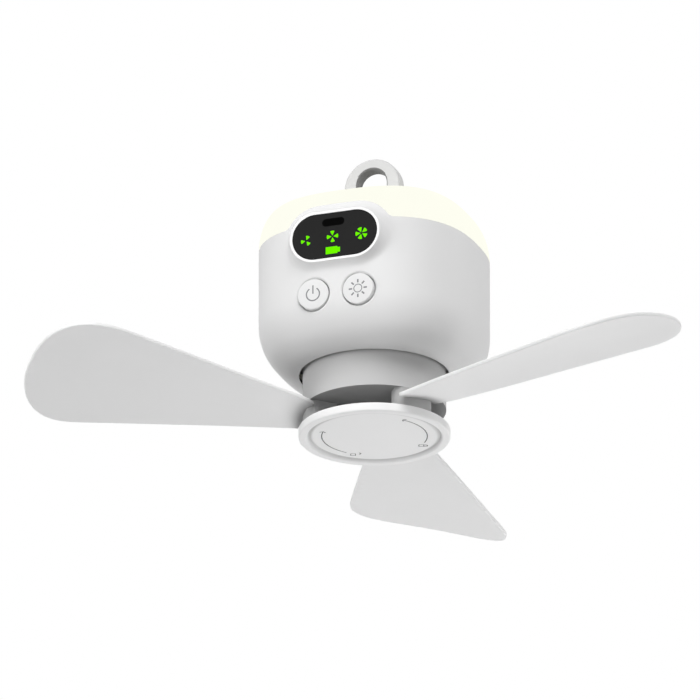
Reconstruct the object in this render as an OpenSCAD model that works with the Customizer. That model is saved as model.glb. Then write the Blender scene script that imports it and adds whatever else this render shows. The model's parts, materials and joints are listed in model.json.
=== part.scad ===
// Hanging camping fan with a lamp dome: a folding loop on top, a rounded square
// housing with a display and two push buttons, and a three-bladed rotor whose
// blade roots are held up by a twist-lock cap.
// Heights in the modules are measured from the mouth of the housing (z = 0),
// and lift() moves everything so that the inside top of the loop is the origin.

/* [Housing] */
// Width of the housing across its flats
body_w = 110.4; // [106:0.1:133]
// Corner radius of the housing, seen from above
corner_r = 45.5; // [40:0.5:47]
// Height of the seam between the shell and the lamp dome
seam_z = 63; // [56:0.5:75]
// Wall of the shell
shell_wall = 2.4; // [1.8:0.1:2.6]
// Height of the rounding under the shell
belly_h = 23.5; // [16:0.5:30]
// Gap between the turning neck and the mouth of the housing
mouth_gap = 1.8; // [0.6:0.1:2.4]

/* [Lamp dome] */
// Sideways reach of the dome's edge rounding
dome_w = 11.5; // [6:0.5:16]
// Rise of the dome above the seam
dome_h = 20.7; // [16:0.1:28]
// Wall of the dome
dome_wall = 2.4; // [1.6:0.1:3]
// Radius of the lamp board
lamp_board_r = 37; // [34:0.5:38]
// Number of lamps in the outer ring
lamp_count = 24; // [12:2:28]

/* [Display] */
// Height of the display's centre
display_z = 54.5; // [50:0.5:56]
// Radius of the display's round ends
lens_r = 12; // [10:0.5:14.5]
// Half the straight length of the display
lens_half = 10.45; // [8:0.05:14]
// Thickness of the display window
lens_t = 1.6; // [1:0.1:2]
// Distance that the display frame stands out of the flat front
display_out = 3; // [2:0.1:5]
// Width of the white rim around the window
rim_w = 1.3; // [0.8:0.1:2]
// Reach of the raised shell around the window
lobe_w = 6.5; // [5:0.1:7]

/* [Buttons] */
// Radius of a push button
button_r = 8.1; // [6:0.1:9.8]
// Half the distance between the buttons' centres
button_x = 11.9; // [11.8:0.05:13]
// Height of the buttons' centres
button_z = 25.3; // [25:0.1:27]
// Distance that a button stands out of the front
button_out = 0.4; // [0.4:0.1:2]
// Travel of a button
button_travel = 0.6; // [0.3:0.05:0.6]

/* [Rotor] */
// Radius of the turning neck
neck_r = 35.9; // [34:0.1:44]
// Drop of the neck below the mouth
neck_drop = 18.4; // [17:0.1:22]
// Height of a blade root
root_h = 10; // [9:0.1:14]
// Distance that the hub cap stands out past the neck
cap_over = 2.1; // [0.5:0.1:6]
// Height of the hub cap
cap_h = 4.6; // [4:0.1:8]
// Depth of the dish in the hub cap
dish_depth = 1.2; // [0.6:0.1:1.5]
// Turn that unlocks the hub cap, in degrees
cap_turn = 50; // [40:1:60]

/* [Blades] */
// Number of blades
blade_count = 3; // [3:1:3]
// Radius of the blade tips
blade_r = 180.5; // [150:0.5:220]
// Blade thickness
blade_t = 2; // [1.6:0.1:3]
// Blade pitch at the middle of its length, in degrees
blade_pitch = 14.3; // [8:0.1:18]
// Extra pitch for each 50 mm further out, in degrees
blade_twist = 3.04; // [0:0.01:4]
// Rise of the blade towards its tip, in degrees
blade_rise = 2.65; // [0:0.05:4]
// Drop of the blade's edges 40 mm from its middle line
blade_camber = 3.7; // [0:0.1:5]
// Direction of the first blade, seen from above, in degrees
blade_turn = 97.8; // [0:0.1:120]

/* [Battery] */
// Radius of one cell
cell_r = 9.2; // [7:0.1:9.2]
// Length of one cell
cell_l = 65; // [50:0.5:65]

/* [Hanging loop] */
// Height of the loop's hinge pin above the dome
pivot_rise = 6.3; // [6.3:0.1:10]
// Outer radius of the loop
loop_r = 14.7; // [13:0.1:18]
// Radius of the loop's opening
loop_hole_r = 7.7; // [7:0.1:9]
// Height of the loop's outer arc centre above the pin
loop_rise = 11.3; // [9:0.1:16]
// Thickness of the loop
loop_t = 8; // [7:0.1:8]
// Radius of the hinge pin
pin_r = 1.5; // [1.2:0.05:2]

/* [Fits] */
// Gap between parts that move past each other
gap = 0.3; // [0.2:0.05:0.4]
// Radial clearance of a pin or shaft in its bore
run_fit = 0.05; // [0.02:0.01:0.09]
// Clearance between parts that are assembled and stay put
seat_fit = 0.1; // [0.05:0.01:0.15]

/* [Hidden] */
$fn = 96;
tiny = 0.01;

// Colours
white_shell = [0.92, 0.92, 0.93];
white_blade = [0.86, 0.86, 0.87];
dome_glow = [1, 1, 0.92];
black_gloss = [0.12, 0.12, 0.13];
lime = [0.4, 0.9, 0.05];
sign_grey = [0.6, 0.6, 0.62];
board_green = [0.1, 0.4, 0.22];
steel = [0.75, 0.76, 0.78];
copper = [0.75, 0.45, 0.25];

// Housing
corner_c = body_w / 2 - corner_r;
front_y = -body_w / 2;
mouth_r = neck_r + mouth_gap;
belly_w = body_w / 2 - mouth_r - 0.3;
dome_top = seam_z + dome_h;
inner_flat = body_w / 2 - shell_wall;
arc_steps = 14;
seam_gap = 0.15;
skirt_drop = 3;
skirt_t = 1.7;

// Button places
button_mid = -0.65;
button_middles = [button_mid - button_x, button_mid + button_x];

// Display
lens_front = front_y - display_out + 0.2;
lens_ledge = 1.5;
lobe_r = lens_r + lobe_w;
window_r = lens_r - lens_ledge;
display_board_r = window_r + 3.5;
board_reach = max(0, lens_half + display_board_r - corner_c);
boss_back = -corner_c - sqrt(pow(corner_r - shell_wall, 2) - pow(board_reach, 2)) + 0.2;
icon_row_x = -0.8;
icon_places = [[-15.2, -1.3], [-1.2, -0.75], [14.15, -1.05]];
icon_t = 0.3;
petal_counts = [3, 4, 5];
petal_turns = [187, 182, 182];
petal_longs = [2.75, 3.05, 3.2];
petal_tip = 0.45;
petal_soft = 0.35;
petal_half = 15.5;

// Buttons
button_front = front_y - button_out;
tube_r = button_r + 2.8;
tube_step = -inner_flat + 1.8;
tube_end = tube_step + 4.8;
flange_r = button_r + 1.1;
flange_t = 1;
plunger_h = 0.7;
switch_h = 1.8;
button_board_t = 1.4;
sign_t = 0.25;

// Chassis, screws and boards
post_r = 4.2;
post_d = max(corner_c * sqrt(2) + corner_r - 13.2, neck_r + post_r + 1);
post_c = post_d / sqrt(2);
pilot_r = 1.45;
chassis_z = 12;
chassis_t = 2.4;
chassis_rise = 1 - (chassis_z - shell_wall) / (belly_h - shell_wall);
belly_in_w = belly_w - shell_wall;
chassis_room = body_w / 2 - belly_w + belly_in_w * sqrt(1 - chassis_rise * chassis_rise);
chassis_r = chassis_room - 5.4;
chassis_top = chassis_z + chassis_t;
standoff_x = 39;
standoff_y = 14;
standoff_r = 3;
deck_pilot_r = 1.25;
deck_z = seam_z + 0.7;
deck_t = 2;
deck_r = 46;
deck_top = deck_z + deck_t;
lamp_board_t = 1.4;
board_t = 1.6;
cradle_t = 2.4;
cell_gap = 0.3;
cell_z = chassis_top + cradle_t + cell_gap + cell_r;
cell_step = 2 * cell_r + 0.4;
cradle_end = cell_l / 2 + 0.7;
cradle_wall = 1.6;
board_z = cell_z + cell_step + cell_r + 2;
board_r = body_w / 2 - 4.7;
socket_w = 9;
socket_h = 3.2;
socket_y = [body_w / 2 - 11.7, body_w / 2 - 0.8];

// Loop
plate_r = 20;
plate_t = 2;
pivot_z = dome_top + pivot_rise;
lug_half = loop_hole_r - gap;
lug_r = 4.3;
stem_r = 5.5;
loop_hole_rise = loop_rise + 1.2;
hang_z = pivot_z + loop_hole_rise + loop_hole_r;
mount_screw_r = 2;

// Motor
shaft_r = 2;
bearing_r = 6;
bearing_w = 4;
race_in_r = 3.3;
race_out_r = 4.9;
ball_r = 1;
tube_wall_r = 8;
upper_bearing_z = chassis_top - bearing_w;
lower_bearing_z = -10;
stator_r = 17.3;
stator_z = [-9, 3];
slot_count = 9;
magnet_r = [stator_r + 0.45, 20.25];
magnet_count = 12;
can_in_r = 20.3;
can_out_r = 21.6;
can_base_t = 1.2;
drum_floor_t = 2.4;
drum_top = 6.5;
drum_wall = 2.2;
drum_floor_top = -neck_drop + drum_floor_t;
can_top = 4;
coil_over = 2;
shaft_top = 16.5;

// Hub
spindle_r = 9.2;
spindle_bore = 6.3;
cap_stem_r = 6;
lug_out_r = 7.6;
lug_t = 2;
lug_z = -neck_drop - 6.6;
root_from = -30;
root_to = 9;
root_in_from = 27.6;
root_in_to = 21;
root_corner = 4;
peg_r = 2;
peg_at = 29;
peg_turns = [-20, 0];
root_bottom = -neck_drop - root_h;
cap_top = root_bottom - gap;
cap_bottom = cap_top - cap_h;
cap_r = neck_r + cap_over;
cap_rim_r = cap_r - 4.5;
cap_face = cap_bottom + dish_depth;
cap_plate_t = 2.2;
cap_floor = cap_face + cap_plate_t;
arrow_r = cap_rim_r - 7;
groove_w = 0.6;
lock_turns = [131, 47.5];
lock_up = -70;

// Blade outline: straight edges, then rounded into the tip
blade_in = 24;
blade_mid_r = 125;
tip_v = 2;
lead_0 = -2.16;
lead_slope = 0.329;
lead_round = blade_r - 40;
lead_ease = 0.02;
lead_ease_r = neck_r + 8;
trail_0 = -14.37;
trail_slope = -0.146;
trail_round = blade_r - 35;
tip_power = 2.3;
blade_z = -22.97;
twist_ease = 0.965;
blade_stations = 26;
blade_strips = 8;

module lift() {
    translate([0, 0, -hang_z]) children();
}

// ---------- rounded square solids ----------

// Quarter ellipse from (r0, z0) that grows by w sideways and h upwards
function belly_curve(r0, z0, w, h) = [
    for (i = [0:arc_steps]) let (a = 90 * i / arc_steps) [r0 + w * sin(a), z0 + h * (1 - cos(a))]
];

// Quarter ellipse that closes the dome over the radius r1
function dome_curve(r1, z1, w, h) = [
    for (i = [0:arc_steps]) let (a = 90 * i / arc_steps) [r1 - w * (1 - cos(a)), z1 + h * sin(a)]
];

// Sweeps an outline of [distance from the corner centre, height] round the rounded square
module sweep(outline) {
    bottom = outline[0][1];
    top = outline[len(outline) - 1][1];
    for (x = [-corner_c, corner_c], y = [-corner_c, corner_c])
        translate([x, y, 0])
            rotate_extrude() polygon(concat([[0, bottom]], outline, [[0, top]]));
    right = [for (p = outline) [corner_c + p[0], p[1]]];
    left = [for (i = [len(outline) - 1:-1:0]) [-corner_c - outline[i][0], outline[i][1]]];
    for (a = [0, 90])
        rotate([0, 0, a])
            translate([0, corner_c, 0])
                rotate([90, 0, 0]) linear_extrude(2 * corner_c) polygon(concat(right, left));
}

// The housing's full outer form, inset by a wall
module envelope(inset, floor_z, roof_z) {
    sweep(concat(
        belly_curve(corner_r - belly_w, floor_z, belly_w - inset, belly_h - floor_z),
        dome_curve(corner_r - inset, seam_z, dome_w - inset, roof_z - seam_z)
    ));
}

// Pill-shaped prism or cone on the front, along Y from y0 to y1
module front_pill(r0, r1, y0, y1, half = lens_half) {
    for (x = [-half, half])
        translate([x, y1, display_z]) rotate([90, 0, 0]) cylinder(r1 = r1, r2 = r0, h = y1 - y0);
    translate([half, 0, display_z])
        rotate([0, -90, 0]) linear_extrude(2 * half) polygon([[-r0, y0], [r0, y0], [r1, y1], [-r1, y1]]);
}

module below_seam() {
    translate([-body_w, -body_w, -1]) cube([2 * body_w, 2 * body_w, seam_z + 1]);
}

// Cylinder along Y on the front
module front_disc(x, z, r, y0, y1) {
    translate([x, y1, z]) rotate([90, 0, 0]) cylinder(r = r, h = y1 - y0);
}

// ---------- shell and dome ----------

module body_shell() color(white_shell) lift() {
    difference() {
        union() {
            difference() {
                intersection() {
                    envelope(0, 0, dome_top);
                    union() {
                        below_seam();
                        front_pill(lobe_r, lobe_r, -body_w, boss_back + 6);
                    }
                }
                envelope(shell_wall, shell_wall, dome_top - dome_wall);
            }
            front_pill(lens_r + rim_w, lobe_r, lens_front - 0.2, boss_back);
            intersection() {
                envelope(0, 0, dome_top);
                union() {
                    for (x = [-post_c, post_c], y = [-post_c, post_c])
                        translate([x, y, 0]) cylinder(r = post_r, h = chassis_z);
                    for (x = button_middles) front_disc(x, button_z, tube_r, front_y, tube_end);
                }
            }
        }
        front_pill(lens_r + seat_fit, lens_r + seat_fit, -body_w, lens_front + lens_t);
        front_pill(window_r, window_r, -body_w, boss_back + 1);
        for (x = button_middles) {
            front_disc(x, button_z, button_r + 0.4, -body_w, tube_step + tiny);
            front_disc(x, button_z, flange_r + 0.4, tube_step, tube_end + 1);
        }
        translate([0, 0, -1]) cylinder(r = mouth_r, h = shell_wall + 2);
        for (x = [-post_c, post_c], y = [-post_c, post_c])
            translate([x, y, 3.5]) cylinder(r = pilot_r, h = chassis_z);
        translate([-socket_w / 2 + socket_h / 2, 0, board_z - socket_h / 2])
            rotate([-90, 0, 0]) linear_extrude(body_w) charge_slot();
    }
}

// Outline of the charging socket's hole
module charge_slot() {
    r = socket_h / 2 + gap;
    length = socket_w - socket_h;
    circle(r = r);
    translate([length, 0]) circle(r = r);
    translate([0, -r]) square([length, 2 * r]);
}

module lamp_dome() color(dome_glow) lift() {
    skirt_r = corner_r - shell_wall - seam_gap;
    difference() {
        union() {
            difference() {
                envelope(0, 0, dome_top);
                envelope(dome_wall, dome_wall, dome_top - dome_wall);
                below_seam();
            }
            difference() {
                intersection() {
                    envelope(0, 0, dome_top);
                    union() {
                        sweep([[skirt_r, seam_z - skirt_drop], [skirt_r, seam_z]]);
                        sweep([[corner_r - 1.5, seam_z], [corner_r - 1.5, seam_z + 2]]);
                    }
                }
                sweep([[skirt_r - skirt_t, seam_z - skirt_drop - 1], [skirt_r - skirt_t, seam_z + 3]]);
            }
        }
        front_pill(lobe_r + seam_gap, lobe_r + seam_gap, -body_w, boss_back + 7);
        cylinder(r = stem_r + gap, h = dome_top + 1);
    }
}

// ---------- hanging loop ----------

module hang_loop() color(white_shell) lift() {
    arch_z = pivot_z + loop_rise;
    hole_z = pivot_z + loop_hole_rise;
    difference() {
        translate([0, loop_t / 2, 0]) rotate([90, 0, 0]) linear_extrude(loop_t) difference() {
            union() {
                translate([0, arch_z]) circle(r = loop_r);
                translate([-loop_r, pivot_z]) square([2 * loop_r, loop_rise]);
            }
            translate([0, hole_z]) circle(r = loop_hole_r);
            translate([-loop_hole_r, pivot_z - 1]) square([2 * loop_hole_r, loop_hole_rise + 1]);
            translate([-loop_r - 1, pivot_z - loop_r]) square([2 * loop_r + 2, loop_r]);
        }
        loop_bore(pin_r + 0.02);
    }
    for (x = [-loop_r, loop_hole_r])
        translate([x, 0, pivot_z]) rotate([0, 90, 0]) difference() {
            cylinder(r = loop_t / 2, h = loop_r - loop_hole_r);
            translate([0, 0, -1]) cylinder(r = pin_r + 0.02, h = loop_r);
        }
}

module loop_bore(r) {
    translate([-loop_r - 1, 0, pivot_z]) rotate([0, 90, 0]) cylinder(r = r, h = 2 * loop_r + 2);
}

module hang_pin() color(steel) lift() {
    translate([-loop_r + 0.5, 0, pivot_z]) rotate([0, 90, 0]) cylinder(r = pin_r, h = 2 * loop_r - 1);
}

module loop_mount() color(white_shell) lift() {
    difference() {
        union() {
            translate([0, 0, dome_top]) cylinder(r = plate_r, h = plate_t);
            translate([-lug_half, -lug_r, dome_top]) cube([2 * lug_half, 2 * lug_r, pivot_z - dome_top]);
            translate([-lug_half, 0, pivot_z]) rotate([0, 90, 0]) cylinder(r = lug_r, h = 2 * lug_half);
            translate([0, 0, deck_top]) cylinder(r = stem_r, h = dome_top - deck_top + 1);
        }
        loop_bore(pin_r + run_fit);
        translate([0, 0, deck_top - 1]) cylinder(r = mount_screw_r + run_fit, h = 17);
    }
}

module loop_mount_screw() color(steel) lift() {
    translate([0, 0, deck_z - 2.6]) cylinder(r = 3.6, h = 2.6);
    translate([0, 0, deck_z]) cylinder(r = mount_screw_r, h = 16);
}

// ---------- display ----------

module display_window() color(black_gloss) lift() {
    difference() {
        front_pill(lens_r, lens_r, lens_front, lens_front + lens_t);
        icon_place(-tiny) sensor_shape();
        icon_place(-tiny) speed_shapes();
        icon_place(-tiny) battery_shape();
    }
}

// Puts a flat sign, drawn in X and Z, into the face of the window
module icon_place(proud) {
    translate([0, lens_front + icon_t, 0])
        rotate([90, 0, 0]) linear_extrude(icon_t - proud) children();
}

// Fan petal pointing along X: its tip is near the hub, its two outer corners are round
module petal(long) {
    corner = (long - petal_soft) * [cos(petal_half), sin(petal_half)];
    away = [corner[0] - petal_tip, corner[1]];
    last = atan2(away[1], away[0]) + asin(petal_soft / norm(away)) + 90;
    upper = [for (k = [0:6]) let (a = petal_half + (last - petal_half) * k / 6)
        [corner[0] + petal_soft * cos(a), corner[1] + petal_soft * sin(a)]];
    lower = [for (k = [0:6]) [upper[6 - k][0], -upper[6 - k][1]]];
    outer = [for (k = [-0.5, 0, 0.5]) [long * cos(k * petal_half), long * sin(k * petal_half)]];
    polygon(concat([[petal_tip, 0]], lower, outer, upper));
}

module speed_shapes() {
    for (i = [0:2])
        translate([icon_places[i][0], display_z + icon_places[i][1]])
            for (k = [0:petal_counts[i] - 1])
                rotate(petal_turns[i] + k * 360 / petal_counts[i]) petal(petal_longs[i]);
}

module battery_shape() {
    translate([icon_row_x - 4, display_z - 10]) square([6.2, 3.8]);
    translate([icon_row_x + 2.1, display_z - 9.4]) square([1.5, 2.6]);
}

module sensor_shape() {
    r = 2.05;
    for (x = [-3.85, 3.85]) translate([icon_row_x + x, display_z + 7]) circle(r = r);
    translate([icon_row_x - 3.85, display_z + 7 - r]) square([7.7, 2 * r]);
}

module speed_icons() color(lime) lift() icon_place(0) speed_shapes();

module battery_icon() color(lime) lift() icon_place(0) battery_shape();

module sensor_window() color([0.02, 0.02, 0.02]) lift() icon_place(0) sensor_shape();

module display_board() color(board_green) lift() {
    front_pill(display_board_r, display_board_r, boss_back, boss_back + 1.4);
}

module display_lamps() color([0.9, 0.95, 0.85]) lift() {
    for (place = icon_places)
        translate([place[0] - 1, boss_back - 0.9, display_z + place[1] - 1]) cube([2, 0.9, 2]);
    translate([icon_row_x - 1.5, boss_back - 0.9, display_z - 8.7]) cube([3, 0.9, 2]);
    translate([icon_row_x - 1.5, boss_back - 1.8, display_z + 5.8]) cube([3, 1.8, 2.4]);
}

// ---------- buttons ----------

module button_body(x) {
    stem_end = tube_end + gap - switch_h - plunger_h - button_travel - run_fit;
    front_disc(x, button_z, button_r, button_front, tube_step);
    front_disc(x, button_z, flange_r, tube_step + gap, tube_step + gap + flange_t);
    front_disc(x, button_z, button_r - 1, tube_step - 1, tube_step + gap + 0.5);
    front_disc(x, button_z, 1.8, tube_step, stem_end);
}

// Puts a flat sign into the face of a button
module button_sign(x, extra) {
    translate([x, button_front + sign_t, button_z])
        rotate([90, 0, 0]) linear_extrude(sign_t + extra) children();
}

module power_shape() {
    ring_r = 3.4;
    difference() {
        circle(r = ring_r + 0.35);
        circle(r = ring_r - 0.35);
        translate([-1.6, 1]) square([3.2, 5]);
    }
    translate([-0.35, 0]) square([0.7, 4.4]);
}

module sun_shape() {
    difference() {
        circle(r = 2.3);
        circle(r = 1.7);
    }
    for (a = [0:45:315]) rotate(a) translate([3, -0.35]) square([1.5, 0.7]);
}

module power_button() color(white_shell) lift() difference() {
    button_body(button_middles[0]);
    button_sign(button_middles[0], 1) power_shape();
}

module power_icon() color(sign_grey) lift() button_sign(button_middles[0], -0.1) power_shape();

module light_button() color(white_shell) lift() difference() {
    button_body(button_middles[1]);
    button_sign(button_middles[1], 1) sun_shape();
}

module light_icon() color(sign_grey) lift() button_sign(button_middles[1], -0.1) sun_shape();

module button_board() color(board_green) lift() {
    translate([button_mid - button_x - 11, tube_end + gap, button_z - 9])
        cube([2 * button_x + 22, button_board_t, 18]);
}

module tact_switches() color([0.2, 0.2, 0.22]) lift() {
    base = tube_end + gap;
    for (x = button_middles) {
        translate([x - 3, base - switch_h, button_z - 3]) cube([6, switch_h, 6]);
        front_disc(x, button_z, 1.7, base - switch_h - plunger_h, base - switch_h);
    }
}

// ---------- electronics ----------

module main_board() color(board_green) lift() {
    translate([0, 0, board_z]) linear_extrude(board_t) intersection() {
        circle(r = board_r);
        translate([-cradle_end - cradle_wall, -36]) square([2 * (cradle_end + cradle_wall), body_w]);
    }
}

module board_parts() color([0.15, 0.15, 0.17]) lift() {
    translate([0, 0, board_z + board_t]) {
        translate([-24, 12, 0]) cube([10, 10, 1.4]);
        translate([10, 14, 0]) cube([7, 7, 1.2]);
        translate([-26, -22, 0]) cube([12, 7, 2.4]);
        translate([16, -20, 0]) cylinder(r = 4, h = 3);
        translate([24, -10, 0]) cylinder(r = 2, h = 3.2);
        for (x = [-8:4:8]) translate([x - 1, 30, 0]) cube([2, 1.2, 0.8]);
    }
}

module charge_socket() color(steel) lift() {
    depth = socket_y[1] - socket_y[0];
    translate([-socket_w / 2 + socket_h / 2, socket_y[0], board_z - socket_h / 2])
        rotate([-90, 0, 0]) difference() {
            linear_extrude(depth) socket_outline(socket_h / 2);
            translate([0, 0, 3]) linear_extrude(depth) socket_outline(socket_h / 2 - 0.3);
        }
    translate([-3, socket_y[0] + 2.5, board_z - socket_h / 2 - 0.35]) cube([6, depth - 4, 0.7]);
}

module socket_outline(r) {
    length = socket_w - socket_h;
    circle(r = r, $fn = 48);
    translate([length, 0]) circle(r = r, $fn = 48);
    translate([0, -r]) square([length, 2 * r]);
}

module battery_cells() color([0.16, 0.42, 0.7]) lift() {
    for (y = [-0.5, 0.5] * (cell_step), z = [0, 1])
        translate([-cell_l / 2, y, cell_z + z * cell_step])
            rotate([0, 90, 0]) cylinder(r = cell_r, h = cell_l);
}

module battery_cradle() color([0.3, 0.31, 0.33]) lift() {
    half_y = cell_step / 2 + cell_r + gap;
    length = 2 * (cradle_end + cradle_wall);
    difference() {
        union() {
            translate([-length / 2, -half_y - cradle_wall, chassis_top])
                cube([length, 2 * (half_y + cradle_wall), cradle_t]);
            for (x = [-length / 2, cradle_end])
                translate([x, -half_y - cradle_wall, chassis_top])
                    cube([cradle_wall, 2 * (half_y + cradle_wall), board_z - chassis_top]);
            for (y = [-half_y - cradle_wall, half_y])
                translate([-length / 2, y, chassis_top]) cube([length, cradle_wall, cell_r + cradle_t]);
        }
        translate([0, 0, chassis_top - 1]) cylinder(r = 5, h = cradle_t + 2);
    }
}

// ---------- lamp ----------

module lamp_deck() color([0.95, 0.95, 0.95]) lift() difference() {
    translate([0, 0, deck_z]) cylinder(r = deck_r, h = deck_t);
    translate([0, 0, deck_z - 1]) cylinder(r = mount_screw_r + 0.2, h = deck_t + 2);
    for (x = [-standoff_x, standoff_x], y = [-standoff_y, standoff_y])
        translate([x, y, deck_z - 1]) cylinder(r = deck_pilot_r + 0.2, h = deck_t + 2);
}

module lamp_board() color([0.9, 0.9, 0.86]) lift() translate([0, 0, deck_top]) difference() {
    cylinder(r = lamp_board_r, h = lamp_board_t);
    translate([0, 0, -1]) cylinder(r = 14, h = lamp_board_t + 2);
}

module lamps() color([1, 0.95, 0.6]) lift() translate([0, 0, deck_top + lamp_board_t]) {
    for (i = [0:lamp_count - 1])
        rotate([0, 0, i * 360 / lamp_count]) translate([lamp_board_r - 5, -1.75, 0]) cube([2.8, 3.5, 0.8]);
    for (i = [0:lamp_count / 2 - 1])
        rotate([0, 0, i * 720 / lamp_count]) translate([lamp_board_r - 16, -1.75, 0]) cube([2.8, 3.5, 0.8]);
}

module deck_screws() color(steel) lift() {
    for (x = [-standoff_x, standoff_x], y = [-standoff_y, standoff_y]) translate([x, y, deck_top]) {
        cylinder(r = 2.4, h = 1.6);
        translate([0, 0, -9]) cylinder(r = deck_pilot_r - run_fit, h = 9);
    }
}

// ---------- chassis and motor ----------

module motor_chassis() color([0.88, 0.88, 0.9]) lift() difference() {
    union() {
        translate([0, 0, chassis_z]) linear_extrude(chassis_t) {
            circle(r = chassis_r);
            for (a = [45:90:315]) rotate(a) {
                translate([post_d, 0]) circle(r = post_r + 0.8);
                translate([tube_wall_r + 8, -post_r]) square([post_d - tube_wall_r - 8, 2 * post_r]);
            }
        }
        for (x = [-standoff_x, standoff_x], y = [-standoff_y, standoff_y])
            translate([x, y, chassis_z]) cylinder(r = standoff_r, h = deck_z - chassis_z);
        translate([0, 0, lower_bearing_z]) cylinder(r = tube_wall_r, h = chassis_z - lower_bearing_z);
        translate([0, 0, stator_z[1]]) cylinder(r = tube_wall_r + 2.4, h = chassis_z - stator_z[1]);
    }
    translate([0, 0, lower_bearing_z - 1]) cylinder(r = race_out_r - 0.3, h = 40);
    translate([0, 0, lower_bearing_z - 1]) cylinder(r = bearing_r + 0.02, h = bearing_w + 1);
    translate([0, 0, upper_bearing_z]) cylinder(r = bearing_r + 0.02, h = bearing_w + 1);
    for (x = [-post_c, post_c], y = [-post_c, post_c])
        translate([x, y, chassis_z - 1]) cylinder(r = pilot_r + 0.15, h = chassis_t + 2);
    for (x = [-standoff_x, standoff_x], y = [-standoff_y, standoff_y])
        translate([x, y, deck_z - 10]) cylinder(r = deck_pilot_r, h = 11);
}

module chassis_screws() color(steel) lift() {
    for (x = [-post_c, post_c], y = [-post_c, post_c]) translate([x, y, chassis_top]) {
        cylinder(r = 2.8, h = 2);
        translate([0, 0, -9]) cylinder(r = pilot_r - run_fit, h = 9);
    }
}

module both_bearings() {
    for (z = [lower_bearing_z, upper_bearing_z]) translate([0, 0, z]) children();
}

module ring(r_in, r_out, z0, z1) {
    translate([0, 0, z0]) difference() {
        cylinder(r = r_out, h = z1 - z0);
        translate([0, 0, -1]) cylinder(r = r_in, h = z1 - z0 + 2);
    }
}

module bearing_outer_rings() color(steel) lift() both_bearings() difference() {
    ring(race_out_r, bearing_r, 0, bearing_w);
    translate([0, 0, bearing_w / 2]) race_groove();
}

module bearing_inner_rings() color(steel) lift() both_bearings() difference() {
    ring(shaft_r + 0.02, race_in_r, 0, bearing_w);
    translate([0, 0, bearing_w / 2]) race_groove();
}

// The path of the balls between the two rings
module race_groove() {
    rotate_extrude() translate([(race_in_r + race_out_r) / 2, 0]) circle(r = ball_r + 0.04, $fn = 48);
}

module bearing_balls() color(steel) lift() both_bearings() {
    for (i = [0:6])
        rotate([0, 0, i * 360 / 7])
            translate([(race_in_r + race_out_r) / 2, 0, bearing_w / 2]) sphere(r = ball_r, $fn = 32);
}

module stator_core() color([0.45, 0.46, 0.5]) lift() {
    translate([0, 0, stator_z[0]]) linear_extrude(stator_z[1] - stator_z[0]) difference() {
        union() {
            circle(r = 10.5);
            for (i = [0:slot_count - 1]) rotate(i * 360 / slot_count) {
                translate([9, -1.5]) square([7, 3]);
                intersection() {
                    circle(r = stator_r);
                    translate([stator_r - 2, -4.6]) square([4, 9.2]);
                }
            }
        }
        circle(r = tube_wall_r + 0.02);
    }
}

module stator_coils() color(copper) lift() {
    height = stator_z[1] - stator_z[0] + 2 * coil_over;
    for (i = [0:slot_count - 1]) rotate([0, 0, i * 360 / slot_count])
        translate([10.8, -3.2, stator_z[0] - coil_over]) difference() {
            cube([4.2, 6.4, height]);
            translate([-1, 1.65, coil_over - 0.05]) cube([7, 3.1, height - 2 * coil_over + 0.1]);
        }
}

module rotor_can() color(steel) lift() difference() {
    union() {
        ring(can_in_r, can_out_r, drum_floor_top, can_top);
        translate([0, 0, drum_floor_top]) cylinder(r = can_out_r, h = can_base_t);
        translate([0, 0, drum_floor_top])
            cylinder(r = race_in_r - 0.2, h = lower_bearing_z - drum_floor_top);
    }
    translate([0, 0, drum_floor_top - 1]) cylinder(r = shaft_r + 0.02, h = 20);
    for (a = [0:120:240]) rotate([0, 0, a])
        translate([13, 0, drum_floor_top - 1]) cylinder(r = 1.2, h = can_base_t + 2);
}

module rotor_magnets() color([0.3, 0.3, 0.33]) lift() {
    for (i = [0:magnet_count - 1]) rotate([0, 0, i * 360 / magnet_count])
        translate([0, 0, drum_floor_top + 4]) rotate_extrude(angle = 26)
            translate([magnet_r[0], 0]) square([magnet_r[1] - magnet_r[0], 15]);
}

module motor_shaft() color(steel) lift() {
    translate([0, 0, drum_floor_top]) cylinder(r = shaft_r, h = shaft_top - drum_floor_top);
}

module shaft_clip() color([0.3, 0.3, 0.32]) lift() {
    ring(shaft_r + 0.02, race_in_r, chassis_top + 0.1, chassis_top + 0.9);
}

module can_screws() color(steel) lift() {
    for (a = [0:120:240]) rotate([0, 0, a]) translate([13, 0, -neck_drop + 0.1]) {
        cylinder(r = 2.2, h = 1.2);
        cylinder(r = 1.15, h = drum_floor_t + can_base_t);
    }
}

// ---------- rotor ----------

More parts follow.
